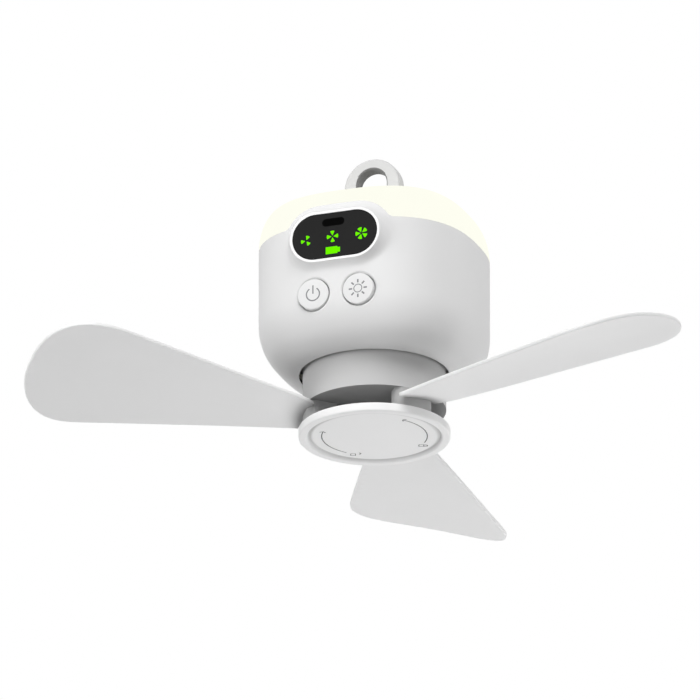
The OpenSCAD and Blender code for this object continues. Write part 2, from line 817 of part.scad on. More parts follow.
module neck_drum() color(white_shell) lift() difference() {
    union() {
        ring(neck_r - drum_wall, neck_r, -neck_drop, drum_top);
        translate([0, 0, -neck_drop]) cylinder(r = neck_r, h = drum_floor_t);
        ring(can_out_r + seat_fit, can_out_r + 1.7, -neck_drop, drum_floor_top + 8);
        for (a = [0:60:300]) rotate([0, 0, a])
            translate([can_out_r + 1, -0.75, -neck_drop]) cube([neck_r - can_out_r - 2, 1.5, 8]);
        translate([0, 0, cap_floor + gap]) cylinder(r = spindle_r, h = -neck_drop - cap_floor);
        for (b = [1:blade_count], s = peg_turns) rotate([0, 0, blade_angle(b) + s])
            translate([peg_at, 0, -neck_drop - 3]) cylinder(r = peg_r, h = 4);
    }
    translate([0, 0, cap_floor - 1]) cylinder(r = spindle_bore, h = -neck_drop - cap_floor);
    for (a = [0:120:240]) rotate([0, 0, a]) {
        translate([13, 0, -neck_drop - 1]) cylinder(r = 1.3, h = 5);
        translate([13, 0, -neck_drop - 1]) cylinder(r = 2.35, h = 2.4);
    }
    // Groove and entry channels for the cap's two locking lugs
    translate([0, 0, lug_z - gap]) cylinder(r = lug_out_r + gap, h = lug_t + 2 * gap);
    for (a = [0, 180]) rotate([0, 0, a - cap_turn - 17])
        translate([0, 0, cap_floor - 1]) rotate_extrude(angle = 34)
            square([lug_out_r + gap, lug_z - cap_floor + 2]);
}

function blade_angle(b) = blade_turn + 360 / blade_count * b;

// Edge of the blade outline at radius u: straight, then rounded into the tip
function edge(u, start, slope, round_from) =
    let (line = start + slope * u, t = max(0, (u - round_from) / (blade_r - round_from)))
    tip_v + (line - tip_v) * pow(max(0, 1 - pow(t, tip_power)), 1 / tip_power);

function pitch(u) =
    let (s = (u - blade_mid_r) / 50) blade_pitch + blade_twist * s - twist_ease * s * s;

// Point of the blade: radius u, place v across the blade, offset n through its thickness
function blade_point(u, v, n) =
    let (a = pitch(u))
    [u, v * cos(a) - n * sin(a),
     blade_z + v * sin(a) + u * tan(blade_rise) - blade_camber * pow(v / 40, 2) + n * cos(a)];

// Stations crowd together towards the tip, where the outline turns fastest
function station(i) = blade_in + (blade_r - 0.15 - blade_in) * sin(90 * i / blade_stations);

function across(u, j) =
    let (
        low = edge(u, trail_0, trail_slope, trail_round),
        ease = lead_ease * pow(max(0, lead_ease_r - u), 2),
        high = edge(u, lead_0, lead_slope, lead_round) - ease
    )
    low + (high - low) * j / blade_strips;

module blade_plate() {
    cols = blade_strips + 1;
    half = (blade_stations + 1) * cols;
    points = [
        for (n = [blade_t / 2, -blade_t / 2], i = [0:blade_stations], j = [0:blade_strips])
            let (u = station(i)) blade_point(u, across(u, j), n)
    ];
    top = [
        for (i = [0:blade_stations - 1], j = [0:blade_strips - 1], k = [0, 1])
            let (a = i * cols + j)
            k == 0 ? [a, a + 1, a + cols + 1] : [a, a + cols + 1, a + cols]
    ];
    bottom = [for (f = top) [f[0] + half, f[2] + half, f[1] + half]];
    rim = concat(
        [for (i = [0:blade_stations]) i * cols],
        [for (j = [1:blade_strips]) blade_stations * cols + j],
        [for (i = [blade_stations - 1:-1:0]) i * cols + blade_strips],
        [for (j = [blade_strips - 1:-1:1]) j]
    );
    side = [
        for (m = [0:len(rim) - 1], k = [0, 1])
            let (a = rim[m], b = rim[(m + 1) % len(rim)])
            k == 0 ? [a, b, b + half] : [a, b + half, a + half]
    ];
    polyhedron(points = points, faces = concat(top, bottom, side));
}

// Point at a radius and angle
function polar(r, a) = [r * cos(a), r * sin(a)];

// Plan of a blade root: its outer wall is the neck's, its outer corners are rounded
module root_outline() {
    centre_r = neck_r - root_corner - 0.02;
    lean = asin(root_corner / centre_r);
    mid = (root_from + root_to) / 2;
    intersection() {
        circle(r = neck_r);
        polygon([
            polar(root_in_to, root_to), polar(root_in_from, root_from),
            polar(centre_r * cos(lean), root_from), polar(centre_r, root_from + lean),
            polar(2 * neck_r, root_from + lean), polar(2 * neck_r, mid), polar(2 * neck_r, root_to - lean),
            polar(centre_r, root_to - lean), polar(centre_r * cos(lean), root_to)
        ]);
    }
    for (a = [root_from + lean, root_to - lean]) translate(polar(centre_r, a)) circle(r = root_corner);
}

module blade_root() difference() {
    translate([0, 0, root_bottom]) linear_extrude(root_h) root_outline();
    for (s = peg_turns)
        rotate([0, 0, s]) translate([peg_at, 0, -neck_drop - 3.3]) cylinder(r = peg_r + seat_fit, h = 4);
}

module blade(b) {
    rotate([0, 0, blade_angle(b)]) {
        difference() {
            blade_plate();
            translate([0, 0, root_bottom - 20]) cylinder(r = neck_r - 1.5, h = 60);
        }
        blade_root();
    }
}

module blade_1() color(white_blade) lift() blade(1);

module blade_2() color(white_blade) lift() blade(2);

module blade_3() color(white_blade) lift() blade(3);

// ---------- hub cap ----------

module hub_cap() color(white_shell) lift() {
    difference() {
        union() {
            translate([0, 0, cap_bottom]) cylinder(r = cap_r, h = cap_h);
            translate([0, 0, cap_bottom + 1]) cylinder(r = cap_stem_r, h = lug_z + lug_t - cap_bottom + 1);
        }
        translate([0, 0, cap_bottom - 1]) cylinder(r = cap_rim_r, h = dish_depth + 1);
        ring(cap_stem_r, cap_r - 2.4, cap_floor, cap_top + 1);
        cap_sign(-0.3);
    }
    for (a = [0, 180]) rotate([0, 0, a - 14])
        translate([0, 0, lug_z]) rotate_extrude(angle = 28)
            translate([cap_stem_r - 1, 0]) square([lug_out_r - cap_stem_r + 1, lug_t]);
}

// The signs in the dish of the cap, from a height above its face up to their depth
module cap_sign(low) {
    translate([0, 0, cap_face + low]) linear_extrude(sign_t - low) cap_sign_shapes();
}

// Curved arrow from one angle to another with its head at the second
module arrow(from, to) {
    low = min(from, to);
    span = abs(to - from);
    rotate(low) intersection() {
        difference() {
            circle(r = arrow_r + groove_w / 2);
            circle(r = arrow_r - groove_w / 2);
        }
        polygon([[0, 0], [60, 0], [60, 60 * tan(span / 2)], [60 * cos(span), 60 * sin(span)]]);
    }
    head = to > from ? 1 : -1;
    rotate(to) translate([arrow_r, 0])
        polygon([[-1.3, 0], [1.3, 0], [0, 3 * head]]);
}

// Small padlock sign, shackle shut or swung open
module padlock(open) {
    translate([-1.7, -2.5]) square([3.4, 2.9]);
    translate(open ? [1.4, 2] : [0, 1.3]) difference() {
        union() {
            circle(r = 1.15, $fn = 32);
            translate([-1.15, -1]) square([2.3, 1]);
        }
        circle(r = 0.65, $fn = 32);
        translate([-0.65, -2]) square([1.3, 2]);
    }
}

module cap_sign_shapes() {
    arrow(142, 212);
    arrow(39, -36);
    rotate(lock_turns[0]) translate([arrow_r + 0.4, 0]) rotate(lock_up - lock_turns[0]) padlock(true);
    rotate(lock_turns[1]) translate([arrow_r + 1.1, 0]) rotate(lock_up - lock_turns[1]) padlock(false);
}

module cap_signs() color(sign_grey) lift() cap_sign(0.05);

// ---------- the nodes ----------

hang_loop();
hang_pin();
body_shell();
lamp_dome();
loop_mount();
loop_mount_screw();
display_window();
sensor_window();
speed_icons();
battery_icon();
display_board();
display_lamps();
button_board();
tact_switches();
main_board();
board_parts();
charge_socket();
battery_cells();
battery_cradle();
lamp_deck();
lamp_board();
lamps();
deck_screws();
motor_chassis();
chassis_screws();
bearing_outer_rings();
stator_core();
stator_coils();
power_button();
power_icon();
light_button();
light_icon();
neck_drum();
rotor_can();
rotor_magnets();
motor_shaft();
shaft_clip();
can_screws();
bearing_inner_rings();
bearing_balls();
blade_1();
blade_2();
blade_3();
hub_cap();
cap_signs();
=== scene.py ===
import json
import math
import bpy
import numpy as np
from mathutils import Matrix, Vector
from mathutils.geometry import delaunay_2d_cdt
from mathutils.kdtree import KDTree


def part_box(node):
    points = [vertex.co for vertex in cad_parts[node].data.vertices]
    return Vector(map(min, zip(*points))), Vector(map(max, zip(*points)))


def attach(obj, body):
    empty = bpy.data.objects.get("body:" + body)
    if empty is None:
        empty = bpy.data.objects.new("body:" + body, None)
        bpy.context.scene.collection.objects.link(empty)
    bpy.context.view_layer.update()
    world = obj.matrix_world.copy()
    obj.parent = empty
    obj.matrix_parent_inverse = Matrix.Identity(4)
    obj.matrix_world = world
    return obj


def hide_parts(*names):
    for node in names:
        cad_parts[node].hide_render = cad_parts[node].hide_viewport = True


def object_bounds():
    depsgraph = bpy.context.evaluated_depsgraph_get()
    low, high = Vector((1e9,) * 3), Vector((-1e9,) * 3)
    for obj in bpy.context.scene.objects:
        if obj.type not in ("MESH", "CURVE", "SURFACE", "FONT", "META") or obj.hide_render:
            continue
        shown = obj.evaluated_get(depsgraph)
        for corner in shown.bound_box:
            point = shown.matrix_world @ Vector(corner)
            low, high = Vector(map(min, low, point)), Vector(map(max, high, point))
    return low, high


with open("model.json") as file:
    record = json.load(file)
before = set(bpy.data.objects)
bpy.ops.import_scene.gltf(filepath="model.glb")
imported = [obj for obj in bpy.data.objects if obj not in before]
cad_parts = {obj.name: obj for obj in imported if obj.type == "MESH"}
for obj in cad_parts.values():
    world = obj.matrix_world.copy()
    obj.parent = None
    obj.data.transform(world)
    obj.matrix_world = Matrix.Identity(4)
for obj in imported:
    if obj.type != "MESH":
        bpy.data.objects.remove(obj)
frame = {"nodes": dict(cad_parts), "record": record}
cadLow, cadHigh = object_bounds()
nodes = frame["nodes"]
scene = bpy.context.scene
print("frame loaded:", len(nodes), "nodes")

# Shapes are worked out in millimetres, with heights from the mouth of the housing
mm = 0.001
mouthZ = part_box("body_shell")[0].z / mm


camera = {
    "distance": 10.0,        # metres from the mouth of the housing
    "lens": 1028.57,
    "sensor": 36.0,
    "clip": (0.5, 60.0),
    "aside": 20.0,           # degrees to the right of the display
    "below": 21.642,         # degrees under the horizon
    "right": 12.23,          # how far the mouth stands from the middle of the view, mm
    "down": 13.25,
}


def makeCamera(c):
    a, e = math.radians(c["aside"]), math.radians(c["below"])
    right = Vector((math.cos(a), math.sin(a), 0))
    ahead = Vector((-math.sin(a) * math.cos(e), math.cos(a) * math.cos(e), math.sin(e)))
    up = right.cross(ahead)
    data = bpy.data.cameras.new("camera")
    data.lens = c["lens"]
    data.sensor_width = c["sensor"]
    data.clip_start, data.clip_end = c["clip"]
    obj = bpy.data.objects.new("camera", data)
    scene.collection.objects.link(obj)
    turn = Matrix((right, up, -ahead)).transposed()
    mouth = Vector((0, 0, mouthZ * mm))
    place = mouth - right * c["right"] * mm + up * c["down"] * mm - ahead * c["distance"]
    obj.matrix_world = Matrix.Translation(place) @ turn.to_4x4()
    scene.camera = obj


makeCamera(camera)
scene.view_settings.view_transform = "Standard"
print("camera ready")


def startMaterial(name):
    material = bpy.data.materials.new(name)
    material.use_nodes = True
    tree = material.node_tree
    tree.nodes.clear()
    output = tree.nodes.new("ShaderNodeOutputMaterial")
    shader = tree.nodes.new("ShaderNodeBsdfPrincipled")
    tree.links.new(shader.outputs[0], output.inputs[0])
    place = tree.nodes.new("ShaderNodeTexCoord")
    return material, tree, shader, place.outputs["Object"]


def noise(tree, place, scale, detail=3.0, stretch=None):
    source = place
    if stretch:
        mapping = tree.nodes.new("ShaderNodeMapping")
        mapping.inputs["Scale"].default_value = stretch
        tree.links.new(place, mapping.inputs[0])
        source = mapping.outputs[0]
    node = tree.nodes.new("ShaderNodeTexNoise")
    node.inputs["Scale"].default_value = scale
    node.inputs["Detail"].default_value = detail
    tree.links.new(source, node.inputs["Vector"])
    return node.outputs["Fac"]


def mapRange(tree, value, start, end, low, high):
    node = tree.nodes.new("ShaderNodeMapRange")
    fields = {"From Min": start, "From Max": end, "To Min": low, "To Max": high}
    for field, number in fields.items():
        node.inputs[field].default_value = number
    tree.links.new(value, node.inputs["Value"])
    return node


def spread(tree, value, low, high):
    # Noise seldom leaves the middle of its range, so that part is stretched from low to high
    start, end = 0.3, 0.7
    return mapRange(tree, value, start, end, low, high).outputs[0]


def mixed(tree, value, first, second):
    node = tree.nodes.new("ShaderNodeMix")
    node.data_type = "RGBA"
    tree.links.new(value, node.inputs["Factor"])
    for socket, colour in (("A", first), ("B", second)):
        found = [s for s in node.inputs if s.name == socket and s.type == "RGBA"][0]
        found.default_value = (*colour, 1)
    return [s for s in node.outputs if s.type == "RGBA"][0]


def grain(tree, shader, height, strength, distance):
    node = tree.nodes.new("ShaderNodeBump")
    node.inputs["Strength"].default_value = strength
    node.inputs["Distance"].default_value = distance
    tree.links.new(height, node.inputs["Height"])
    tree.links.new(node.outputs[0], shader.inputs["Normal"])


plasticLook = {
    "clouds": 28,            # how fine the clouding, the sheen and the grain are
    "sheen": 160,
    "grain": 2600,
    "sheenSpread": 0.04,
    "grainDepth": 0.00004,
}


def mouldedPlastic(name, colour, roughness, cloud=0.985, bump=0.12, shine=0.03):
    # Moulded plastic: a fine sparked grain, faint clouding and uneven sheen
    look = plasticLook
    material, tree, shader, place = startMaterial(name)
    clouds = spread(tree, noise(tree, place, look["clouds"]), 0, 1)
    darker = tuple(v * cloud for v in colour)
    tree.links.new(mixed(tree, clouds, colour, darker), shader.inputs["Base Color"])
    smooth, rough = roughness - look["sheenSpread"], roughness + look["sheenSpread"]
    sheen = spread(tree, noise(tree, place, look["sheen"]), smooth, rough)
    tree.links.new(sheen, shader.inputs["Roughness"])
    shader.inputs["Specular IOR Level"].default_value = shine
    grain(tree, shader, noise(tree, place, look["grain"], 2), bump, look["grainDepth"])
    return material


metalLook = {
    "brush": 900,            # how fine the marks are
    "darkest": 0.86,         # share of the colour that is left in them
    "smoother": 0.06,
    "rougher": 0.08,
    "bump": 0.15,
    "grainDepth": 0.00003,
}


def bareMetal(name, colour, roughness, stretch=(1, 1, 12)):
    # Brushed or drawn metal: its marks are stretched along one axis
    look = metalLook
    material, tree, shader, place = startMaterial(name)
    brushed = noise(tree, place, look["brush"], 4, stretch)
    darker = tuple(v * look["darkest"] for v in colour)
    streaks = spread(tree, brushed, 0, 1)
    tree.links.new(mixed(tree, streaks, colour, darker), shader.inputs["Base Color"])
    sheen = spread(tree, brushed, roughness - look["smoother"], roughness + look["rougher"])
    tree.links.new(sheen, shader.inputs["Roughness"])
    shader.inputs["Metallic"].default_value = 1
    grain(tree, shader, brushed, look["bump"], look["grainDepth"])
    return material


litLook = {
    "clouds": 45,            # how fine the unevenness is
    "darkest": 0.985,        # share of the light that is left in it
    "sheen": 300,
    "sheenSpread": 0.03,
    "grain": 1800,
    "bump": 0.08,
    "grainDepth": 0.00003,
}


def litPlastic(name, colour, strength, base, roughness=0.35, shine=0.2):
    # Plastic lit from behind, a little uneven as the lamps behind it are
    look = litLook
    material, tree, shader, place = startMaterial(name)
    uneven = spread(tree, noise(tree, place, look["clouds"]), 0, 1)
    darker = tuple(v * look["darkest"] for v in colour)
    tree.links.new(mixed(tree, uneven, colour, darker), shader.inputs["Emission Color"])
    shader.inputs["Emission Strength"].default_value = strength
    shader.inputs["Base Color"].default_value = (*base, 1)
    smooth, rough = roughness - look["sheenSpread"], roughness + look["sheenSpread"]
    sheen = spread(tree, noise(tree, place, look["sheen"]), smooth, rough)
    tree.links.new(sheen, shader.inputs["Roughness"])
    shader.inputs["Specular IOR Level"].default_value = shine
    grain(tree, shader, noise(tree, place, look["grain"], 2), look["bump"], look["grainDepth"])
    return material


boardLook = {
    "tracks": 260,           # how fine the net is
    "mask": (0.02, 0.13, 0.05),
    "paler": (0.03, 0.17, 0.07),
    "line": (0.05, 0.26, 0.1),
    "lineWidth": 0.03,
    "sheen": 500,
    "roughness": (0.3, 0.42),
    "bump": 0.2,
    "grainDepth": 0.00005,
}


def boardGreen(name):
    # Solder mask, with a net of tracks under it
    look = boardLook
    material, tree, shader, place = startMaterial(name)
    bricks = tree.nodes.new("ShaderNodeTexBrick")
    bricks.inputs["Scale"].default_value = look["tracks"]
    bricks.inputs["Color1"].default_value = (*look["mask"], 1)
    bricks.inputs["Color2"].default_value = (*look["paler"], 1)
    bricks.inputs["Mortar"].default_value = (*look["line"], 1)
    bricks.inputs["Mortar Size"].default_value = look["lineWidth"]
    tree.links.new(place, bricks.inputs["Vector"])
    tree.links.new(bricks.outputs["Color"], shader.inputs["Base Color"])
    sheen = spread(tree, noise(tree, place, look["sheen"]), *look["roughness"])
    tree.links.new(sheen, shader.inputs["Roughness"])
    grain(tree, shader, bricks.outputs["Fac"], look["bump"], look["grainDepth"])
    return material


finishes = {
    "white_plastic": mouldedPlastic("whiteHousing", (0.78, 0.78, 0.78), 0.46),
    # Paler than the housing's white: painted light on the blades; they also get painted shade near
    # the hub, below
    "blade_plastic": mouldedPlastic("bladePaintedLightAndShade", (0.89, 0.89, 0.89), 0.5),
    "inner_plastic": mouldedPlastic("innerPlastic", (0.62, 0.62, 0.64), 0.5, cloud=0.95),
    "dark_plastic": mouldedPlastic("darkPlastic", (0.03, 0.03, 0.035), 0.45, cloud=0.8),
    "lamp_diffuser": litPlastic("glowingDome", (1.0, 1.0, 0.888), 1.0, (0.0, 0.0, 0.0), shine=0),
    "black_gloss": mouldedPlastic("tintedWindow", (0.017, 0.017, 0.017), 0.22, 0.9, 0.01, 0.08),
    "lit_green": litPlastic("litGreen", (0.17, 0.96, 0.0), 1.0, (0.0, 0.0, 0.0), 0.3, 0),
    "sign_grey": mouldedPlastic("signGrey", (0.25, 0.25, 0.26), 0.55, cloud=0.9),
    "circuit_board": boardGreen("boardGreen"),
    "white_board": mouldedPlastic("boardWhite", (0.72, 0.72, 0.68), 0.4),
    "lamp_chip": litPlastic("lampChip", (1.0, 0.93, 0.6), 0.6, (0.7, 0.55, 0.15)),
    "battery_cell": mouldedPlastic("cellSleeve", (0.04, 0.16, 0.42), 0.3, cloud=0.85),
    "motor_iron": bareMetal("motorIron", (0.25, 0.25, 0.27), 0.5),
    "copper": bareMetal("windings", (0.75, 0.36, 0.17), 0.35, (12, 1, 1)),
    "steel": bareMetal("brightSteel", (0.66, 0.66, 0.68), 0.3),
    # Pieces whose finish differs from their slot's. Most are lighter or darker copies of the white
    # plastic that paint in light and shade, as noted at each
    # The housing's white, with painted shade near the mouth added below
    "shell": mouldedPlastic("shellPaintedShade", (0.78, 0.78, 0.78), 0.46),
    # Near black: painted shade on the shell's inside round the mouth
    "inside": mouldedPlastic("shellInsidePaintedShade", (0.02, 0.02, 0.02), 0.8, shine=0.1),
    # Dark grey: painted shade on the loop's inner faces
    "loopInnerShade": mouldedPlastic("loopInnerShade", (0.22, 0.22, 0.22), 0.5),
    # Paler than the housing's white: painted light on the cap, with a ring of painted shade in its
    # channel below
    "cap": mouldedPlastic("capPaintedLightAndShade", (0.93, 0.93, 0.93), 0.46),
    # Darker than the housing's white: painted shade on the loop
    "loop": mouldedPlastic("loopPaintedShade", (0.63, 0.63, 0.63), 0.5),
    # Paler than the housing's white: painted highlight on the display's rim; its lower roughness is
    # real gloss
    "rim": mouldedPlastic("displayRimPaintedHighlight", (0.96, 0.96, 0.96), 0.3, bump=0.03),
    "capSign": mouldedPlastic("capSign", (0.16, 0.16, 0.165), 0.55, cloud=0.9),
    # Darker than the housing's white: painted shade on the neck, with more painted shade on its
    # downward faces below
    "neck_drum": mouldedPlastic("neckPaintedShade", (0.6, 0.6, 0.6), 0.6),
    "sensor_window": mouldedPlastic("sensorBlack", (0.001, 0.001, 0.001), 0.3, 0.9, 0.01, 0.02),
}


def coordinate(material, kind):
    return [n for n in material.node_tree.nodes if n.type == "TEX_COORD"][0].outputs[kind]


def axisDistance(material):
    # Distance in metres from the fan's axis
    tree = material.node_tree
    flat = tree.nodes.new("ShaderNodeMapping")
    flat.inputs["Scale"].default_value = (1, 1, 0)
    length = tree.nodes.new("ShaderNodeVectorMath")
    length.operation = "LENGTH"
    tree.links.new(coordinate(material, "Object"), flat.inputs[0])
    tree.links.new(flat.outputs[0], length.inputs[0])
    return length.outputs["Value"]


def mouthHeight(material):
    # Height in metres above the mouth
    tree = material.node_tree
    parts = tree.nodes.new("ShaderNodeSeparateXYZ")
    above = tree.nodes.new("ShaderNodeMath")
    above.operation = "SUBTRACT"
    above.inputs[1].default_value = mouthZ * mm
    tree.links.new(coordinate(material, "Object"), parts.inputs[0])
    tree.links.new(parts.outputs["Z"], above.inputs[0])
    return above.outputs[0]


def upwardness(material):
    # 1 on faces that look up, -1 on faces that look down
    tree = material.node_tree
    parts = tree.nodes.new("ShaderNodeSeparateXYZ")
    tree.links.new(coordinate(material, "Normal"), parts.inputs[0])
    return parts.outputs["Z"]


def shade(name, measure, low, high):
    # Painted shade: multiplies the base colour by a brightness that goes smoothly from low's to
    # high's
    material = finishes[name]
    tree = material.node_tree
    socket = [n for n in tree.nodes if n.type == "BSDF_PRINCIPLED"][0].inputs["Base Color"]
    step = mapRange(tree, measure(material), low[0], high[0], low[1], high[1])
    step.interpolation_type = "SMOOTHSTEP"
    product = tree.nodes.new("ShaderNodeVectorMath")
    product.operation = "SCALE"
    tree.links.new(socket.links[0].from_socket, product.inputs[0])
    tree.links.new(step.outputs[0], product.inputs["Scale"])
    tree.links.new(product.outputs[0], socket)


# Painted shade in the base colour at the blade roots, under the neck, in the cap's channel and on
# the shell at the mouth.
# Each pair is a place on the measure and the brightness there.
shade("blade_plastic", axisDistance, (0.034, 0.48), (0.043, 1))
shade("neck_drum", upwardness, (-0.95, 0.55), (-0.4, 1))
channelShade = 0.66
shade("cap", axisDistance, (0.0306, 1), (0.0325, channelShade))
shade("cap", axisDistance, (0.0327, 1), (0.0341, 1 / channelShade))
shade("shell", mouthHeight, (0.0005, 0.9), (0.009, 1))

slots = {s["node"]: s["material_slot"] for s in frame["record"]["subparts"]}


def dressNodes():
    for name, obj in nodes.items():
        obj.data.materials.clear()
        obj.data.materials.append(finishes.get(name) or finishes[slots[name]])


dressNodes()
print("materials made")


def toWorld(points):
    return [(x * mm, y * mm, (z + mouthZ) * mm) for x, y, z in points]


def addPiece(name, points, faces, body, slotName, replaced, crease=38):
    # Edges sharper than the crease, in degrees, stay sharp
    mesh = bpy.data.meshes.new(name)
    mesh.from_pydata(toWorld(points), [], [tuple(int(i) for i in f) for f in faces])
    mesh.validate()
    mesh.shade_smooth()
    mesh.set_sharp_from_angle(angle=math.radians(crease))
    mesh.materials.append(finishes[slotName])
    obj = bpy.data.objects.new(name, mesh)
    scene.collection.objects.link(obj)
    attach(obj, body)
    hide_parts(*replaced)
    return obj


def roundCorners(points, steps):
    # Points are (x, y) or (x, y, radius of the corner); a corner takes less than half of a side
    most = 0.49
    result = []
    last = len(points) - 1
    for i, p in enumerate(points):
        here = np.array(p[:2], float)
        radius = p[2] if len(p) > 2 else 0
        if radius == 0 or i in (0, last):
            result.append((float(here[0]), float(here[1])))
            continue
        back = np.array(points[i - 1][:2], float) - here
        on = np.array(points[i + 1][:2], float) - here
        backLength, onLength = np.linalg.norm(back), np.linalg.norm(on)
        back, on = back / backLength, on / onLength
        half = math.acos(max(-1, min(1, float(back @ on)))) / 2
        reach = min(radius / math.tan(half), most * backLength, most * onLength)
        radius = reach * math.tan(half)
        middle = (back + on) / np.linalg.norm(back + on)
        centre = here + middle * radius / math.sin(half)
        a, b = here + back * reach - centre, here + on * reach - centre
        start = math.atan2(a[1], a[0])
        turn = (math.atan2(b[1], b[0]) - start + math.pi) % (2 * math.pi) - math.pi
        for k in range(steps + 1):
            angle = start + turn * k / steps
            result.append(tuple(centre + radius * np.array((math.cos(angle), math.sin(angle)))))
    return result


def arc(centre, radius, start, end, steps):
    angles = np.radians(np.linspace(start, end, steps + 1))
    x, y = centre
    return [(x + radius * math.cos(a), y + radius * math.sin(a)) for a in angles]


def inside(points, loop):
    # Even-odd test of many points against one closed loop
    points, loop = np.asarray(points, float), np.asarray(loop, float)
    result = np.zeros(len(points), bool)
    for (x0, y0), (x1, y1) in zip(loop, np.roll(loop, -1, axis=0)):
        if y0 == y1:
            continue
        crosses = (points[:, 1] < y0) != (points[:, 1] < y1)
        result ^= crosses & (points[:, 0] < x0 + (points[:, 1] - y0) * (x1 - x0) / (y1 - y0))
    return result


def within(points, border, holes):
    # Points inside a border and outside its holes
    result = inside(points, border)
    for hole in holes:
        result &= ~inside(points, hole)
    return result


def nearest(points, others):
    # Distance from each point to the nearest of the others
    return np.sqrt(((points[:, None] - others[None]) ** 2).sum(-1)).min(1)


patchFill = {
    "ringGap": 0.12,         # a guide ring that comes nearer to an edge is used in part
    "looseGap": 0.4,         # what is left of it keeps this far off
    "row": 0.87,             # height of a row, in spacings
    "pointGap": 0.62,        # least distance to other points, in spacings
    "batch": 400,            # points measured at a time
    "merge": 1e-6,           # points closer than this become one
}


def fillPatch(border, holes, rings, spacing):
    # Triangles over a flat region: its border, holes and guide rings keep their own points
    fill = patchFill
    fixed = [list(border)] + [list(h) for h in holes]
    near = np.array([p for loop in fixed for p in loop])
    loose = []
    for ring in rings:
        ring = np.asarray(ring, float)
        gaps = nearest(ring, near)
        ok = within(ring, border, holes) & (gaps > fill["ringGap"])
        if ok.all():
            fixed.append([tuple(p) for p in ring])
        else:
            loose += [tuple(p) for p in ring[ok & (gaps > fill["looseGap"])]]
    taken = np.array([p for loop in fixed for p in loop] + loose)
    low, high = np.min(border, axis=0), np.max(border, axis=0)
    grid = []
    for row, y in enumerate(np.arange(low[1], high[1], spacing * fill["row"])):
        for x in np.arange(low[0] + (row % 2) * spacing / 2, high[0], spacing):
            grid.append((x, y))
    grid = np.array(grid)
    grid = grid[within(grid, border, holes)]
    batches = np.array_split(grid, max(1, len(grid) // fill["batch"]))
    gaps = np.concatenate([nearest(batch, taken) for batch in batches])
    grid = grid[gaps > spacing * fill["pointGap"]]
    points, edges = [], []
    for loop in fixed:
        first = len(points)
        points += loop
        edges += [(first + i, first + (i + 1) % len(loop)) for i in range(len(loop))]
    points += loose + [tuple(p) for p in grid]
    points = [Vector(p) for p in points]
    flat, _, faces, *_ = delaunay_2d_cdt(points, edges, [], 0, fill["merge"])
    flat = np.array([tuple(p) for p in flat])
    faces = np.array([f for f in faces if len(f) == 3])
    faces = faces[within(flat[faces].mean(1), border, holes)]
    # All faces turn the same way
    ab = flat[faces[:, 1]] - flat[faces[:, 0]]
    ac = flat[faces[:, 2]] - flat[faces[:, 0]]
    turned = ab[:, 0] * ac[:, 1] < ab[:, 1] * ac[:, 0]
    faces[turned] = faces[turned][:, ::-1]
    return flat, faces


def weld(points, faces, extra=None):
    # Joins points that lie nearer to each other than the reach, in mm
    reach = 0.004
    points = np.asarray(points, float)
    tree = KDTree(len(points))
    for i, p in enumerate(points):
        tree.insert(p, i)
    tree.balance()
    place = np.arange(len(points))
    for i, p in enumerate(points):
        if place[i] == i:
            for _, other, _ in tree.find_range(p, reach):
                if other > i and place[other] == other:
                    place[other] = i
    kept = np.flatnonzero(place == np.arange(len(points)))
    number = np.zeros(len(points), int)
    number[kept] = np.arange(len(kept))
    result = []
    for face in faces:
        ring = [int(number[place[i]]) for i in face]
        ring = [v for i, v in enumerate(ring) if v != ring[i - 1]]
        if len(ring) > 2:
            result.append(ring)
    if extra is None:
        return points[kept], result
    return points[kept], result, np.asarray(extra)[kept]


def openEdges(faces):
    edges = {}
    for f in faces:
        for i, a in enumerate(f):
            edges[(a, f[(i + 1) % len(f)])] = True
    return [(a, b) for (a, b) in edges if (b, a) not in edges]


def gridFaces(columns, rows, closed=False):
    # Faces of a grid whose points are stored column by column
    faces = []
    for i in range(columns if closed else columns - 1):
        for j in range(rows - 1):
            a, b = i * rows + j, (i + 1) % columns * rows + j
            faces.append((a, b, b + 1, a + 1))
    return faces


def lathe(profile, turns):
    # Turns (radius, height) points round Z; a point on the axis closes the end
    points, rows, faces = [], [], []
    for r, h in profile:
        if r == 0:
            rows.append([len(points)])
            points.append((0, 0, h))
        else:
            rows.append(list(range(len(points), len(points) + turns)))
            for k in range(turns):
                angle = 2 * math.pi * k / turns
                points.append((r * math.cos(angle), r * math.sin(angle), h))
    for low, high in zip(rows, rows[1:]):
        for k in range(turns):
            a, b = low[k % len(low)], low[(k + 1) % len(low)]
            c, d = high[(k + 1) % len(high)], high[k % len(high)]
            face = [v for i, v in enumerate((a, b, c, d)) if v != (a, b, c, d)[i - 1]]
            faces.append(face)
    return points, faces


def join(parts):
    points, faces = [], []
    for p, f in parts:
        first = len(points)
        points += [tuple(v) for v in p]
        faces += [tuple(i + first for i in face) for face in f]
    return points, faces


# Housing: the shell and the dome share one rounded square plan
housing = {
    "half": 55.2,            # half the width across the flats
    "power": 2.62,           # 2 would be a circle, more is squarer
    "cornerRadius": 45.5,
    "bellyWidth": 17.2,      # how far the belly and the dome draw in, and over what height
    "bellyHeight": 23.5,
    "seam": 63.0,
    "seamGap": 0.15,
    "domeWidth": 11.5,
    "domeHeight": 20.7,
    "wall": 2.4,
    "mouth": 37.7,           # radius of the opening round the neck
    "undercut": (0.75, 0.5),  # how its lip leans, inward and down, so that the gap looks dark
    "paintedShadeBelow": 12,         # the inside gets near-black painted shade up to here
    "stemHole": 5.8,         # radius of the dome's hole round the loop's stem
    "socketGap": 0.3,        # round the charging socket
    "patchAngle": 37.7,      # how far to each side the front patch goes, degrees
    "patchFoot": 60,         # where on the belly's curve it starts, degrees
    "patchTop": 48,          # where on the dome's curve it ends, degrees
    "columns": (58, 56),     # how many go across the front or the back, and across a side
    "frontSpacing": 1.25,    # how far apart the points lie that fill a patch
    "domeSpacing": 1.6,
    "backSpacing": 1.8,
}
